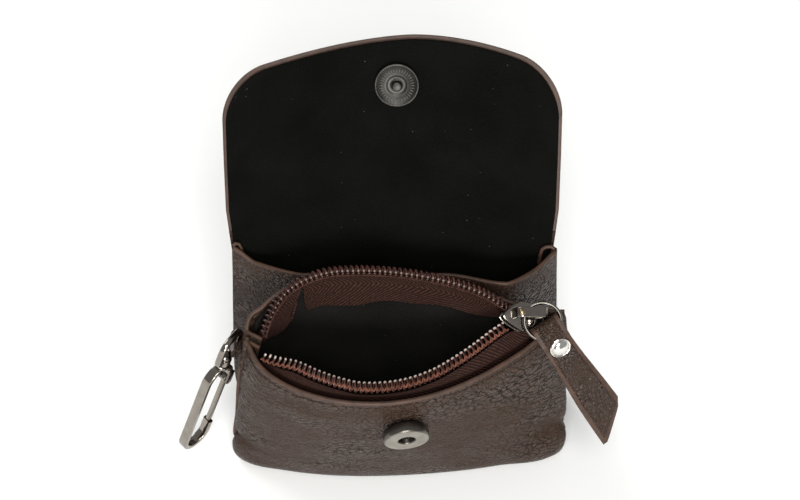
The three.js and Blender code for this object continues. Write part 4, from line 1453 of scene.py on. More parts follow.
        bm = drawn_grid(110, 60, place)
        piece = add_piece(name, bm, [self.finishes.pocket_lining, self.finishes.pocket_lining], Slot.LINING,
                          stands_for=[node])
        give_wall(piece, 0.8 * CLOTH, edge=0.25)

    def build(self) -> None:
        """Builds the walls and their linings."""
        self.front()
        self.stitches()
        self.back()
        self.seams()
        self.lining("zip_lining_front_cloth", "zip_lining_front", FRONT_WALL, -LINING_MIDDLE, (112.0, 74.0))
        self.lining("zip_lining_back_cloth", "zip_lining_back", BACK_WALL, LINING_MIDDLE, (104.0, 64.0))


class ChainRow(NamedTuple):
    """A stop of a zip half, as in the solids' tables; the slope is in degrees."""

    across: float
    lift: float
    rise: float
    tilt: float


BACK_CHAIN = (
    ChainRow(0.022, -6.2, 2.2, 62), ChainRow(0.12, -1.6, 2.2, 90), ChainRow(0.22, 0.2, 2.2, 90),
    ChainRow(0.36, 0.0, 2.2, 90), ChainRow(0.5, 0.0, 2.2, 90), ChainRow(0.66, 0.9, 2.2, 85),
    ChainRow(0.76, 1.4, 2.2, 70), ChainRow(0.83, 0.6, 1.6, 48),
)
FRONT_CHAIN = (
    ChainRow(0.03, -2.0, 0.4, 85), ChainRow(0.08, -0.6, 1.2, 60), ChainRow(0.13, 0.0, 2.0, 44),
    ChainRow(0.2, 0.0, 1.7, 40), ChainRow(0.28, 0.0, 1.0, 40), ChainRow(0.36, 0.0, 0.3, 40),
    ChainRow(0.5, 0.0, 0.6, 40), ChainRow(0.6, 0.0, 1.4, 40), ChainRow(0.68, 0.0, 2.6, 42),
    ChainRow(0.76, 0.0, 3.9, 46), ChainRow(0.83, 0.0, 5.0, 50), ChainRow(0.875, 0.0, 4.6, 52),
    ChainRow(0.94, 0.4, 1.5, 62),
)


class ChainStop(NamedTuple):
    """A stop of a zip half in space: the tape's turn, the way of its teeth, the way along and the rise."""

    across: float
    turn: Vector
    teeth: Vector
    along: Vector
    rise: float


class CoilStop(NamedTuple):
    """A stop on the coil's middle line, the way of its teeth, the way along and the length so far."""

    place: Vector
    teeth: Vector
    along: Vector
    length: float


@dataclass
class ZipChain:
    """One half of the zip: a tape along a wall's rim and the coil at the tape's edge."""

    finishes: Finishes
    label: str
    wall: PocketWall
    table: tuple[ChainRow, ...]
    inwards: int
    low: float
    flare: float
    coil_finish: bpy.types.Material
    thread_finish: bpy.types.Material
    thread_at: float
    thread_swing: float
    split: float
    end: float
    coil_height: float = 3.8
    coil_depth: float = 2.6
    pitch: float = 1.66
    tape_stock: float = 0.6
    wire: float = 0.3
    thread: float = 0.22
    tail_low: float = 0.805
    notch: float = 0.05
    stops_per_turn: int = 16

    def stop(self, share: float) -> ChainStop:
        """Works out the zip half at one place.

        Args:
            share: the share of its length.

        Returns:
            The stop there.
        """
        row = row_at(self.table, share)
        rim, along = self.wall.rim(row.across)
        level = Vector((along.x, along.y, 0)).normalized()
        inside = Vector((level.y, -level.x, 0)) * self.inwards
        tilt = row.tilt * DEGREE
        teeth = inside * math.cos(tilt) + Vector((0, 0, math.sin(tilt)))
        teeth = (teeth - along * teeth.dot(along)).normalized()
        turn = rim + inside * TAPE_MIDDLE + Vector((0, 0, row.lift))
        return ChainStop(row.across, turn, teeth, along, row.rise)

    def tape_point(self, along: float, t: float, hem: float) -> Vector:
        """Returns a point of the tape's middle.

        Args:
            along: share of the zip's length.
            t: share of the tape's width, from its free edge.
            hem: how far up the wall the free edge hangs.

        Returns:
            The point.
        """
        turn_at = 0.78
        stop = self.stop(along)
        if t > turn_at:
            return stop.turn.lerp(stop.turn + stop.teeth * stop.rise, (t - turn_at) / (1 - turn_at))
        share = t / turn_at
        sag = (1 - share) ** 2 * (0.55 + 0.45 * math.sin(stop.across * 21))
        lift = (TAPE_MIDDLE + sag) * self.inwards
        lower = lifted(self.wall.point, stop.across, mix(hem, 0.97, share), lift)
        return lower.lerp(stop.turn, step(0.5, 1.0, share))

    def tape(self, name: str, place: Place, columns: int, stands_for: Sequence[str]) -> None:
        """Builds a length of the woven tape.

        Args:
            name: the piece's name.
            place: where a point of the tape lies.
            columns: quads along it.
            stands_for: the solids that it replaces.
        """
        rows, steps, places = 28, 60, (0.1, 0.3, 0.5, 0.7, 0.9)
        length = sum((place((k + 1) / steps, 0.8) - place(k / steps, 0.8)).length for k in range(steps))
        width = sum((place(s, (k + 1) / rows) - place(s, k / rows)).length
                    for k in range(rows) for s in places) / len(places)
        bm = drawn_grid(columns, rows, place, (length, width))
        piece = add_piece(name, bm, [self.finishes.tape, self.finishes.tape], Slot.TAPE,
                          stands_for=stands_for)
        give_wall(piece, self.tape_stock, edge=0.15)

    def main_point(self, s: float, t: float) -> Vector:
        """Works out a point of the tape's long part, whose first corner is rounded off.

        Args:
            s: the share of its length.
            t: the share of its width, from its free edge.

        Returns:
            The point.
        """
        corner = (1 - s) ** 24 if self.split else 0.0
        along = mix(self.split, 1.0, s)
        across = self.stop(along).across
        hem = self.low + self.flare * (across - 0.4 + 0.08 * math.sin(across * 31 + 0.8))
        return self.tape_point(along + 0.6 * self.notch * corner * (1 - t) ** 2, t, hem + 0.02 * corner)

    def tail_point(self, s: float, t: float) -> Vector:
        """Works out a point of the short part at the zip's end, which curls away from the long one.

        Args:
            s: the share of its length.
            t: the share of its width, from its free edge.

        Returns:
            The point.
        """
        along = mix(0.0, self.split - 0.004, s) - self.notch * s**5 * (1 - t) ** 1.5
        spot = self.tape_point(along, t, self.tail_low + 0.012 * math.sin(s * 9) + 0.07 * s**8)
        stop = self.stop(along)
        inside = stop.along.cross(Vector((0, 0, 1))) * self.inwards
        return spot + inside * 1.6 * s**3 * (1 - t) ** 2

    def line(self, count: int) -> list[CoilStop]:
        """Spaces stops evenly on the coil's middle line.

        Args:
            count: how many steps the line has.

        Returns:
            The stops.
        """
        rough: list[CoilStop] = []
        length = 0.0
        for k in range(401):
            stop = self.stop(self.end * k / 400)
            place = stop.turn + stop.teeth * (stop.rise + GAP + self.coil_height / 2)
            if rough:
                length += (place - rough[-1].place).length
            rough.append(CoilStop(place, stop.teeth, stop.along, length))
        stops = []
        k = 0
        for n in range(count + 1):
            at = length * n / count
            while k < len(rough) - 2 and rough[k + 1].length < at:
                k += 1
            share = (at - rough[k].length) / max(rough[k + 1].length - rough[k].length, 1e-9)
            place = rough[k].place.lerp(rough[k + 1].place, share)
            stops.append(CoilStop(place, rough[k].teeth, rough[k].along, at))
        return stops

    def turns(self) -> int:
        """Returns how many teeth the coil has."""
        return round(self.line(2)[-1].length / self.pitch)

    def coil(self) -> None:
        """Builds the spiral of teeth: a wire whose turns widen into heads at the inner edge."""
        turns = self.turns()
        path, references, sections = [], [], []
        stops = self.line(turns * self.stops_per_turn)
        for n, (place, teeth, along, _) in enumerate(stops):
            phase = TURN * n / self.stops_per_turn
            depth = along.cross(teeth)
            head = max(math.cos(phase), 0) ** 6
            ahead = self.pitch / TURN * 0.4 * math.sin(2 * phase)
            path.append(place + along * ahead
                        + teeth * (self.coil_height / 2 - self.wire) * math.cos(phase)
                        + depth * (self.coil_depth / 2 - self.wire) * math.sin(phase))
            references.append(along)
            sections.append(round_section(self.wire * (1 + 0.12 * head), 7))
        bm = swept(path, references, sections, run=float(turns))
        add_piece(f"zip_coil_{self.label}_spiral", bm, [self.coil_finish], Slot.COIL,
                  stands_for=[f"zip_coil_{self.label}"])

    def stitches(self) -> None:
        """Builds the sewn thread that holds the coil down, one wave to each tooth."""
        path, references, per_tooth = [], [], 8
        for n, (place, teeth, along, _) in enumerate(self.line(self.turns() * per_tooth)):
            phase = TURN * n / per_tooth
            depth = along.cross(teeth)
            path.append(place + teeth * (self.thread_at + self.thread_swing * math.sin(phase))
                        + depth * (self.coil_depth / 2 - 0.02 + 0.14 * math.cos(2 * phase)))
            references.append(depth)
        bm = swept(path, references, [round_section(self.thread, 6)])
        add_piece(f"zip_thread_{self.label}", bm, [self.thread_finish], Slot.COIL)

    def build(self) -> None:
        """Builds the tape, the coil and its thread."""
        node = f"zip_tape_{self.label}"
        if self.split:
            self.tape(f"{node}_tail", self.tail_point, 40, [])
        self.tape(f"{node}_woven", self.main_point, 150, [node])
        self.coil()
        self.stitches()


@dataclass
class Slider:
    """The zip's slider: two plates, the wedge between them, a bridge and a domed lock."""

    finishes: Finishes
    at: Vector
    along: Vector
    across: Vector
    out: Vector
    plate: float = 1.0
    space: float = 2.4
    bridge_width: float = 3.2
    bridge_stock: float = 1.1
    bridge_rise: float = 5.2
    bridge_shift: float = 0.7
    bridge_left: float = -3.6
    bridge_right: float = 5.6
    bridge_corner: float = 1.5
    lock_along: float = 1.6
    lock_across: float = -1.5
    pin_along: float = -2.6

    def outline(self) -> list[tuple[float, float]]:
        """Draws the plates' outline: a narrow end, flaring sides and a round mouth.

        Returns:
            Its corners, in millimetres.
        """
        mouth = []
        for k in range(17):
            side = math.cos(k * math.pi / 16)
            mouth.append((-1 - 6.2 * (1 - abs(side) ** 1.4), 4.7 * side))
        tail = [(6.4 - 1.1 * (1 - math.sin(a)), -2.5 - 1.1 * math.cos(a)) for a in (0, 0.5, 1.0, math.pi / 2)]
        return [*mouth, *tail, *[(x, -y) for x, y in reversed(tail)]]

    def bridge_path(self) -> list[Vector]:
        """Draws the middle line of the bridge.

        Returns:
            Its stops, from the left foot to the right foot.
        """
        left, right, corner, sunk = self.bridge_left, self.bridge_right, self.bridge_corner, -0.6
        path = [Vector((left, 0, sunk))]
        for middle, start in ((left + corner, math.pi), (right - corner, math.pi / 2)):
            for k in range(7):
                a = start - k * math.pi / 12
                height = self.bridge_rise - corner + corner * math.sin(a)
                path.append(Vector((middle + corner * math.cos(a), 0, height)))
        return [*path, Vector((right, 0, sunk))]

    def build(self) -> None:
        """Builds the slider."""
        upper = plate(self.outline(), self.plate, 0.36)
        lower = plate(self.outline(), self.plate, 0.36)
        lower.transform(Matrix.Translation((0, 0, -(self.plate + self.space) * MM)))
        wedge = plate([(-5.4, 0.9), (-5.4, -0.9), (-1.6, -0.4), (-1.6, 0.4)], self.space + 1, 0.2)
        wedge.transform(Matrix.Translation((0, 0, -(self.plate - 0.5) * MM)))
        bridge = swept(self.bridge_path(), [Vector((0, 1, 0))],
                       [rounded_bar(self.bridge_width, self.bridge_stock, 0.3)])
        bridge.transform(Matrix.Translation((0, self.bridge_shift * MM, 0)))
        dome = turned([(0, -0.3), (1.9, -0.3), (1.9, 0.4), (1.75, 0.95), (1.4, 1.45), (0.8, 1.8),
                       (0, 1.95)], 24)
        dome.transform(Matrix.Translation((self.lock_along * MM, self.lock_across * MM, 0)))
        bm = joined([upper, lower, wedge, bridge, dome])
        bm.transform(basis(self.at, self.along, self.across, self.out))
        knob = turned([(0, -0.9), (0.8, -0.9), (1.15, -0.5), (1.25, 0), (1.15, 0.45), (0.8, 0.8),
                       (0, 0.95)], 20)
        knob.transform(Matrix.Translation(Vector((self.pin_along, self.bridge_shift, self.bridge_rise)) * MM))
        knob.transform(basis(self.at, self.along, self.across, self.out))
        add_piece("zip_slider_pin", knob, [self.finishes.brass], Slot.GUNMETAL)
        add_piece("zip_slider_cast", bm, [self.finishes.polished], Slot.GUNMETAL, stands_for=["zip_slider"])


@dataclass
class Pull:
    """The zip's pull: a wire ring under the bridge, a folded leather strap and its rivet."""

    finishes: Finishes
    slider: Slider
    out: Vector
    ring_radius: float = 5.7
    wire: float = 0.6
    ring_slant: float = 73 * DEGREE
    ring_in_bridge: float = -0.35
    ring_height: float = 1.7
    slant: float = 56 * DEGREE
    half_width: float = 4.8
    end_half_width: float = 6.0
    end_shift: float = 1.6
    corner: float = 1.6
    fold: float = 0.7
    straight: float = 6.3
    droop: float = 35 * DEGREE
    droop_radius: float = 3.0
    joined_at: float = 7.7
    long_edge: float = 54.9
    short_edge: float = 40.8
    rivet_at: float = 9.2
    rivet_radius: float = 3.4
    border: float = 1.25

    def __post_init__(self) -> None:
        """Works out the pull's own directions and the ring's middle."""
        slider = self.slider
        self.out = self.out.normalized()
        self.along = (slider.along - self.out * slider.along.dot(self.out)).normalized()
        self.across = self.out.cross(self.along)
        wire_along = self.in_plane(self.ring_slant)
        self.middle = (slider.at + slider.along * self.ring_in_bridge + slider.out * self.ring_height
                       + wire_along.cross(self.out) * self.ring_radius)
        self.away = self.in_plane(-self.slant)
        self.side = self.out.cross(self.away)

    def in_plane(self, slant: float) -> Vector:
        """Returns a direction in the ring's plane."""
        return self.along * math.cos(slant) + self.across * math.sin(slant)

    def strap_point(self, along: float, lift: float, across: float) -> Vector:
        """Works out a point of the strap, which droops beyond the ring.

        Args:
            along: how far it lies from the ring's middle along the strap, in millimetres.
            lift: how far it lies off the strap's middle.
            across: how far it lies from the strap's middle line.

        Returns:
            The point.
        """
        turn = min(max(along - self.straight, 0) / self.droop_radius, self.droop)
        rest = max(along - self.straight - self.droop_radius * self.droop, 0)
        away = (min(along, self.straight) + self.droop_radius * math.sin(turn)
                + rest * math.cos(turn) + lift * math.sin(turn))
        drop = self.droop_radius * (1 - math.cos(turn)) + rest * math.sin(turn) - lift * math.cos(turn)
        return self.middle + self.away * away - self.out * drop + self.side * across

    def ring(self) -> None:
        """Builds the wire ring."""
        path = [self.middle + self.in_plane(TURN * k / 64) * self.ring_radius for k in range(64)]
        bm = swept(path, [self.out], [round_section(self.wire, 14)], closed=True)
        add_piece("pull_ring_wire", bm, [self.finishes.worn], Slot.GUNMETAL, stands_for=["pull_ring"])

    def strap_rows(self) -> list[tuple[float, float, float]]:
        """Lays out the strap's rows from one end to the fold.

        Returns:
            For each row, the share of the free length, the place along the strap and half of the opening.
        """
        thin = LEATHER / 2 + GAP / 2
        wide = self.wire + 1.6 * GAP + LEATHER / 2
        throat = self.ring_radius + self.wire + GAP
        free = [(1 - k / 44, self.joined_at, thin) for k in range(45)]
        free.insert(1, (1 - 0.018, self.joined_at, thin))
        closing = [(0.0, mix(self.joined_at, throat, k / 6), mix(thin, wide, step(0, 6, k)))
                   for k in range(1, 7)]
        straight = [(0.0, mix(throat, self.fold + wide, k / 5), wide) for k in range(1, 6)]
        turn = [(0.0, self.fold + wide * (1 - math.sin(a)), wide * math.cos(a))
                for a in (k * math.pi / 16 for k in range(1, 9))]
        return [*free, *closing, *straight, *turn]

    def strap(self) -> None:
        """Builds the folded strap with its slanted end and painted border."""
        half_rows = self.strap_rows()
        rows = [*half_rows, *[(share, along, -lift) for share, along, lift in reversed(half_rows[:-1])]]
        columns, end_rows = 32, 3

        def place(s: float, t: float) -> Vector:
            """Places a point of the strap's middle.

            Args:
                s: the share of the way across the strap.
                t: the share of the way from one end round the fold to the other.

            Returns:
                The point, in millimetres.
            """
            share, along, lift = rows[round(t * (len(rows) - 1))]
            column = round(s * columns)
            inner = min(max(column - 1, 0), columns - 2) / (columns - 2)
            side = mix(-1, 1, inner) * (1 - self.border / self.half_width)
            if column in (0, columns):
                side = math.copysign(1, s - 0.5)
            far = mix(along, mix(self.long_edge, self.short_edge, (side + 1) / 2), share)
            round_off = self.corner * step(0.7, 1.0, abs(side)) ** 2 * step(0.86, 1.0, share)
            half = mix(self.half_width, self.end_half_width, step(self.rivet_at, self.short_edge, far))
            sag = 0.3 * ripple(far / 14, side / 2, 2.2) * step(14, 26, far)
            padding = 0.45 * step(0.82, 0.5, abs(side)) - 0.22 * bump(abs(side), 0.79, 0.07)
            crown = padding * step(0.0, 0.1, share) * step(1.0, 0.93, share) * math.copysign(1, lift)
            return self.strap_point(far - round_off, lift + sag + crown, side * half + self.end_shift * share)

        bm = drawn_grid(columns, len(rows) - 1, place)
        bm.faces.ensure_lookup_table()
        for k, face in enumerate(bm.faces):
            row, column = divmod(k, columns)
            at_end = row < end_rows or row > len(rows) - 2 - end_rows
            if column in (0, columns - 1) or at_end:
                face.material_index = 1
        piece = add_piece("pull_strap_leather", bm, [self.finishes.strap, self.finishes.edge],
                          Slot.LEATHER, stands_for=["pull_tab"])
        give_wall(piece, LEATHER, edge=0.3)

    def rivet(self) -> None:
        """Builds the domed rivet through the strap."""
        seat = LEATHER + GAP * 1.5
        radius = self.rivet_radius
        round_off = 0.8 * radius
        dome = [(round_off * math.cos(k * math.pi / 20), seat + 0.3 + 1.35 * math.sin(k * math.pi / 20))
                for k in range(10)]
        profile = [(0, -seat - 0.9), (radius * 0.7, -seat - 0.9), (radius * 0.85, -seat), (1.0, -seat),
                   (1.0, seat), (radius - 0.15, seat), (radius, seat + 0.12), (radius, seat + 0.3),
                   (0.95 * radius, seat + 0.45), (0.88 * radius, seat + 0.42), (0.83 * radius, seat + 0.25),
                   *dome, (0, seat + 1.65)]
        bm = turned(profile, 40)
        place = self.strap_point(self.rivet_at, 0, 0)
        bm.transform(facing(place, (self.strap_point(self.rivet_at, 1, 0) - place).normalized()))
        add_piece("pull_rivet_dome", bm, [self.finishes.nickel], Slot.NICKEL, stands_for=["pull_rivet"])

    def build(self) -> None:
        """Builds the ring, the strap and the rivet."""
        self.ring()
        self.strap()
        self.rivet()


@dataclass
class MagneticSnap:
    """The snap's two halves: a disc with a pin on the flap, and one with a hole on the front wall."""

    finishes: Finishes
    panel: BackPanel
    stud_x: float = 1.4
    stud_run: float = 127.3
    stud_radius: float = 6.9
    pin_radius: float = 1.55
    pin_height: float = 1.7
    tick_count: int = 36
    socket_x: float = 3.9
    socket_z: float = 40.1
    socket_radius: float = 7.3
    socket_height: float = 3.6
    socket_hole: float = 2.65
    socket_nod: float = 4 * DEGREE
    socket_lift: float = 0.5

    def stud(self) -> None:
        """Builds the half with the pin."""
        rim, pin, high = self.stud_radius, self.pin_radius, self.pin_height + 1.1
        profile = [
            (0, 0), (rim - 0.4, 0), (rim - 0.1, 0.1), (rim, 0.4), (rim, 1.0), (rim - 0.1, 1.2),
            (rim - 0.3, 1.28), (rim - 0.5, 1.28), (rim - 0.65, 1.22), (rim - 0.8, 1.1), (pin + 1.75, 1.1),
            (pin + 1.6, 1.06), (pin + 1.35, 0.92), (pin + 0.3, 0.92), (pin, 1.1), (pin, high - 0.3),
            (pin - 0.12, high - 0.1), (pin - 0.4, high), (0, high),
        ]
        place = self.panel.point(self.stud_x, self.stud_run, LINING_NEAR + CLOTH + GAP)
        out = self.panel.point(0, self.stud_run, 1) - self.panel.point(0, self.stud_run, 0)
        ticks = []
        for k in range(self.tick_count):
            tick = plate([(3.9, -0.14), (5.5, -0.2), (5.5, 0.2), (3.9, 0.14)], 0.16, 0.03)
            turn = Matrix.Rotation(TURN * k / self.tick_count, 4, "Z")
            tick.transform(turn @ Matrix.Translation((0, 0, 1.2 * MM)))
            ticks.append(tick)
        bm = joined([turned(profile, 48), *ticks])
        bm.transform(facing(place, out))
        add_piece("snap_stud_disc", bm, [self.finishes.tumbled], Slot.GUNMETAL, stands_for=["snap_stud"])

    def seat(self) -> tuple[Vector, Vector]:
        """Finds the socket's seat on the front wall, level by level.

        Returns:
            The seat's place and the way out there.
        """
        low, high, across = 0.375, 1.0, 0.5
        for _ in range(40):
            up = (low + high) / 2
            row = row_at(FRONT_WALL.rows_table, up)
            across = (self.socket_x - row.x_left) / (row.x_right - row.x_left)
            if FRONT_WALL.point(across, up).z < self.socket_z:
                low = up
            else:
                high = up
        place = FRONT_WALL.point(across, low)
        out = (lifted(FRONT_WALL.point, across, low, 1.0) - place).normalized()
        return place + out * (LEATHER / 2 + GAP), out

    def socket(self) -> None:
        """Builds the half with the hole."""
        rim, high, hole = self.socket_radius, self.socket_height, self.socket_hole
        base = -1.6 * self.socket_lift
        profile = [
            (0, base), (rim - 1.4, base), (rim - 1.0, 0.0), (rim - 0.15, 0.12), (rim, 0.5), (rim, high - 0.6),
            (rim - 0.08, high - 0.3), (rim - 0.28, high - 0.08), (rim - 0.6, high), (hole + 0.4, high),
            (hole + 0.12, high - 0.1), (hole, high - 0.4), (hole, 0.8), (1.2, 0.8), (0.9, 1.0), (0.4, 1.15),
            (0, 1.2),
        ]
        place, out = self.seat()
        out = (Matrix.Rotation(self.socket_nod, 3, "X") @ out).normalized()
        place += out * self.socket_lift
        bm = turned(profile, 56)
        bm.transform(facing(place, out))
        face = turned([
            (hole + 0.3, high - 0.3), (hole + 0.35, high), (hole + 0.5, high + 0.06),
            (rim - 0.6, high + 0.06), (rim - 0.4, high), (rim - 0.4, high - 0.3),
            (hole + 0.3, high - 0.3)], 56)
        core = turned([(0, 0.6), (1.5, 0.6), (1.5, 1.5), (1.2, 1.9), (0.6, 2.1), (0, 2.15)], 24)
        bright = joined([face, core])
        bright.transform(facing(place, out))
        add_piece("snap_socket_face", bright, [self.finishes.satin], Slot.NICKEL)
        add_piece("snap_socket_disc", bm, [self.finishes.worn], Slot.GUNMETAL,
                  stands_for=["snap_socket"])

    def build(self) -> None:
        """Builds both halves."""
        self.stud()
        self.socket()


@dataclass
class Clasp:
    """The swivel clasp: a leather loop on the seam, an eye, a hook that turns in it and a sprung gate."""

    finishes: Finishes
    down: Vector
    gate_side: Vector
    limb_at: Vector
    eye_across: Vector
    eye_half_width: float = 5.0
    eye_half_length: float = 5.5
    eye_squareness: float = 3.4
    eye_wire: float = 1.05
    boss_radius: float = 2.3
    boss_half: float = 1.4
    post_radius: float = 1.1
    clear: float = 0.4
    hook_half: float = 4.9
    hook_top: float = 3.6
    shoulder: float = 9.5
    bend: float = 40.0
    nose: float = 35.5
    strip: float = 3.2
    stock: float = 1.7
    pivot: float = 12.4
    gate_half_width: float = 0.85
    gate_half_stock: float = 0.7
    cheek: float = 0.7
    loop_width: float = 4.4
    loop_stock: float = 1.0
    loop_tail: float = 6.0
    loop_tail_half: float = 0.7

    def __post_init__(self) -> None:
        """Works out the clasp's own directions and the swivel's place."""
        self.down = self.down.normalized()
        self.gate_side = (self.gate_side - self.down * self.gate_side.dot(self.down)).normalized()
        self.wide = self.down.cross(self.gate_side)
        self.eye_across = (self.eye_across - self.down * self.eye_across.dot(self.down)).normalized()
        self.eye_middle = self.limb_at - self.eye_across * self.eye_half_width
        self.swivel = self.eye_middle + self.down * (self.eye_half_length + 0.4)

    def point(self, down: float, gate: float, wide: float = 0.0) -> Vector:
        """Returns a point of the clasp: down from the swivel, towards the gate and across the strip."""
        return self.swivel + self.down * down + self.gate_side * gate + self.wide * wide

    def upright(self, place: Vector) -> Matrix:
        """Returns the move that stands a turned piece along the clasp."""
        return basis(place, self.gate_side, self.wide, self.down)

    def crosswise(self, place: Vector) -> Matrix:
        """Returns the move that lays a turned piece across the strip."""
        return basis(place, self.down, self.gate_side, self.wide)

    def eye(self) -> None:
        """Builds the eye: a squarish ring with the swivel's boss at its foot."""

        def squared(value: float) -> float:
            """Returns a sine or cosine pushed towards a square."""
            return math.copysign(abs(value) ** (2 / self.eye_squareness), value)

        path = [self.eye_middle + self.eye_across * self.eye_half_width * squared(math.cos(TURN * k / 72))
                + self.down * self.eye_half_length * squared(math.sin(TURN * k / 72)) for k in range(72)]
        flat_wire = rounded_bar(2 * self.eye_wire, 2 * self.eye_wire, 0.7)
        ring = swept(path, [self.down.cross(self.eye_across)], [flat_wire], closed=True)
        half, radius = self.boss_half, self.boss_radius
        boss = turned([(1.5, -half), (radius - 0.3, -half), (radius, -half + 0.3), (radius, half - 0.3),
                       (radius - 0.3, half), (1.5, half), (1.5, -half)], 32)
        boss.transform(self.upright(self.swivel))
        add_piece("clasp_eye_ring", joined([ring, boss]), [self.finishes.polished], Slot.GUNMETAL,
                  stands_for=["clasp_eye"])

    def hook(self) -> None:
        """Builds the hook: a flat strip bent into a loop, its swivel post, the gate's cheeks and pin."""
        arch = [self.point(self.shoulder - (self.shoulder - self.hook_top) * math.sin(math.pi * k / 18),
                           self.hook_half * math.cos(math.pi * k / 18)) for k in range(19)]
        turn = [self.point(self.bend + self.hook_half * math.sin(math.pi * k / 20),
                           -self.hook_half * math.cos(math.pi * k / 20)) for k in range(21)]
        path = [*arch, *turn, self.point(self.nose, self.hook_half)]
        strip = swept(path, [self.wide], [rounded_bar(self.strip, self.stock, 0.4)])
        collar = self.boss_half + self.clear
        post = turned([
            (0, -collar - 1.2), (1.1, -collar - 1.2), (1.6, -collar - 1.0), (2.1, -collar - 0.5),
            (2.1, -collar), (self.post_radius, -collar), (self.post_radius, collar), (2.2, collar),
            (2.4, collar + 0.2), (2.4, collar + 0.9), (2.1, collar + 1.3), (1.5, collar + 1.8),
            (1.5, self.hook_top + 0.4), (0, self.hook_top + 0.4)], 32)
        post.transform(self.upright(self.swivel))
        cheek_at = self.gate_half_width + self.clear + self.cheek / 2
        reach = self.pivot - self.shoulder + 3.2
        cheeks = []
        for wide in (-cheek_at, cheek_at):
            sheet = plate([(-reach / 2, -1.2), (reach / 2 - 0.8, -1.2), (reach / 2, -0.4), (reach / 2, 0.4),
                           (reach / 2 - 0.8, 1.2), (-reach / 2, 1.2)], self.cheek, 0.15)
            sheet.transform(Matrix.Translation((0, 0, self.cheek / 2 * MM)))
            middle = (self.pivot + self.shoulder) / 2 + 0.2
            sheet.transform(self.crosswise(self.point(middle, self.hook_half, wide)))
            cheeks.append(sheet)
        pin = turned([(0, -cheek_at), (0.5, -cheek_at), (0.5, cheek_at), (0, cheek_at)], 16)
        pin.transform(self.crosswise(self.point(self.pivot, self.hook_half)))
        bm = joined([strip, post, *cheeks, pin])
        add_piece("clasp_hook_strip", bm, [self.finishes.polished], Slot.GUNMETAL, Body.HOOK,
                  stands_for=["clasp_hook"])

    def gate(self) -> None:
        """Builds the gate that turns on the hook's pin."""
        tip = self.nose - self.clear
        path = [self.point(mix(self.pivot, tip, k / 12), self.hook_half) for k in range(13)]
        bar = swept(path, [self.wide],
                    [rounded_bar(2 * self.gate_half_width, 2 * self.gate_half_stock, 0.3)])
        half = self.gate_half_width
        head = turned([(0.8, -half), (1.4, -half), (1.6, -half + 0.2), (1.6, half - 0.2), (1.4, half),
                       (0.8, half), (0.8, -half)], 28)
        head.transform(self.crosswise(self.point(self.pivot, self.hook_half)))
        add_piece("clasp_gate_bar", joined([bar, head]), [self.finishes.polished], Slot.GUNMETAL, Body.GATE,
                  stands_for=["clasp_gate"])

    def loop(self) -> None:
        """Builds the leather loop round the eye's limb."""
        tail = (Vector((0, -1, 0)) + self.down * self.down.y).normalized()
        side = tail.cross(self.down)
        radius = self.eye_wire + GAP + self.loop_stock / 2

        def at(along: float, out: float) -> Vector:
            """Returns a place beside the limb."""
            return self.limb_at + tail * along + side * out

        turn = [at(-radius * math.cos(a), radius * math.sin(a))
                for a in (mix(-0.5, 0.5, k / 16) * math.pi for k in range(17))]
        neck = self.loop_tail * 0.6
        path = [at(self.loop_tail, -self.loop_tail_half), at(neck, -self.loop_tail_half), *turn,
                at(neck, self.loop_tail_half), at(self.loop_tail, self.loop_tail_half)]
        bm = swept(path, [self.down], [rounded_bar(self.loop_width, self.loop_stock, 0.25)])
        add_piece("clasp_loop_leather", bm, [self.finishes.strap], Slot.LEATHER, stands_for=["clasp_loop"])

    def build(self) -> None:
        """Builds the loop, the eye, the hook and the gate."""
        self.loop()
        self.eye()
        self.hook()
        self.gate()


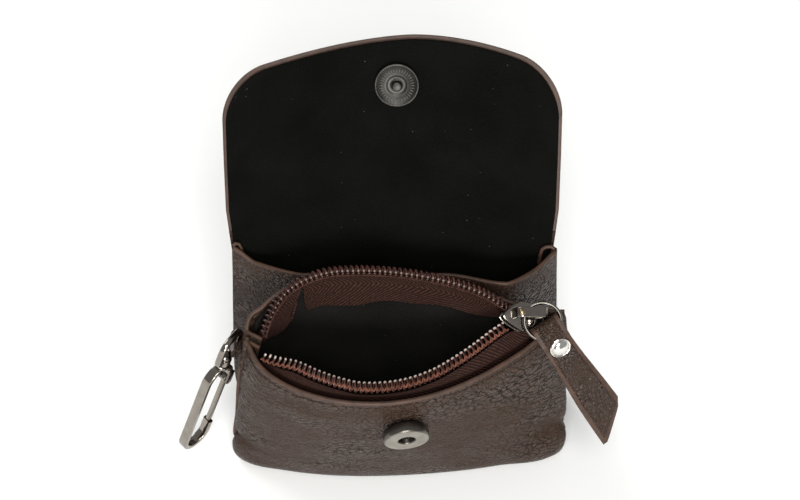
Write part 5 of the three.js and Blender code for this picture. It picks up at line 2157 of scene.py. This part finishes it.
@dataclass
class Studio:
    """The table, the soft lights and the camera at the photograph's angle."""

    target: Vector
    elevation: float = 50 * DEGREE
    distance: float = 680.0
    lens: float = 96.4
    sensor: float = 36.0
    paper_half: float = 3.0
    room_strength: float = 0.35

    def floor(self) -> None:
        """Lays the white paper."""
        bm = bmesh.new()
        bmesh.ops.create_grid(bm, x_segments=4, y_segments=4, size=self.paper_half)
        mesh = bpy.data.meshes.new("paper")
        bm.to_mesh(mesh)
        bm.free()
        mesh.materials.append(SeamlessPaper().build())
        paper = bpy.data.objects.new("paper", mesh)
        bpy.context.scene.collection.objects.link(paper)

    def light(self, name: str, place: tuple[float, float, float], size: float, power: float) -> None:
        """Hangs a square soft light that faces the wallet.

        Args:
            name: the light's name.
            place: where it hangs, in metres.
            size: its side in metres.
            power: its power in watts.
        """
        data = bpy.data.lights.new(name, "AREA")
        data.size = size
        data.energy = power
        lamp = bpy.data.objects.new(name, data)
        lamp.location = place
        lamp.rotation_euler = (self.target * MM - Vector(place)).to_track_quat("-Z", "Y").to_euler()
        bpy.context.scene.collection.objects.link(lamp)

    def camera(self) -> None:
        """Sets the camera up."""
        data = bpy.data.cameras.new("camera")
        data.lens = self.lens
        data.sensor_width = self.sensor
        data.clip_start = 0.01
        camera = bpy.data.objects.new("camera", data)
        back = Vector((0, -math.cos(self.elevation), math.sin(self.elevation)))
        camera.location = (self.target + back * self.distance) * MM
        camera.rotation_euler = (-back).to_track_quat("-Z", "Y").to_euler()
        bpy.context.scene.collection.objects.link(camera)
        bpy.context.scene.camera = camera

    def sky(self) -> None:
        """Fills the room with an even white."""
        world = bpy.data.worlds.new("room")
        world.use_nodes = True
        tree = world.node_tree
        tree.nodes.clear()
        even = add_node(tree, Kind.ROOM, {"Color": linear("#ffffff"), "Strength": self.room_strength})
        add_node(tree, Kind.WORLD, {"Surface": even})
        bpy.context.scene.world = world
        bpy.context.scene.view_settings.view_transform = "Standard"

    def build(self) -> None:
        """Builds the floor, the lights, the room and the camera."""
        self.floor()
        self.light("key", place=(0.05, -0.85, 1.15), size=0.7, power=13.5)
        self.light("fill", place=(0.1, -1.3, 0.3), size=0.45, power=15.0)
        self.light("back", place=(-0.8, 0.8, 1.1), size=0.9, power=11.0)
        self.sky()
        self.camera()


def main() -> None:
    """Builds the wallet's sub-assemblies in order."""
    logging.basicConfig(level=logging.INFO, format="%(name)s: %(message)s")
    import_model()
    Studio(target=Vector((2.4, 17, 72))).build()
    finishes = Finishes()
    panel = BackPanel(finishes)
    panel.build()
    RearPocket(finishes).build()
    ZipPocket(finishes).build()
    ZipChain(finishes, "back", BACK_WALL, BACK_CHAIN, inwards=1, low=0.855, flare=0.1,
             coil_finish=finishes.coil_shaded_glints, thread_finish=finishes.shaded_thread, thread_at=-1.25,
             thread_swing=0.12, split=0.215, end=1.0, coil_height=3.3, wire=0.35).build()
    ZipChain(finishes, "front", FRONT_WALL, FRONT_CHAIN, inwards=-1, low=0.86, flare=0.0,
             coil_finish=finishes.coil_lit_highlights, thread_finish=finishes.thread, thread_at=-0.45,
             thread_swing=0.5, split=0.0, end=0.89, thread=0.3).build()
    out = Vector((0.31, -0.5, 0.81)).normalized()
    along = Vector((0.95, 0.19, -0.25))
    along = (along - out * along.dot(out)).normalized()
    slider = Slider(finishes, at=Vector((41.1, -7.4, 69.1)), along=along, across=out.cross(along), out=out)
    slider.build()
    Pull(finishes, slider, out=Vector((0, -0.643, 0.766))).build()
    MagneticSnap(finishes, panel).build()
    Clasp(finishes, down=Vector((-0.3, -0.044, -0.953)), gate_side=Vector((0.641, 0.731, -0.235)),
          limb_at=Vector((-49.3, -6.0, 55.6)), eye_across=Vector((0.5, 0.866, 0))).build()


if __name__ == "__main__":
    main()
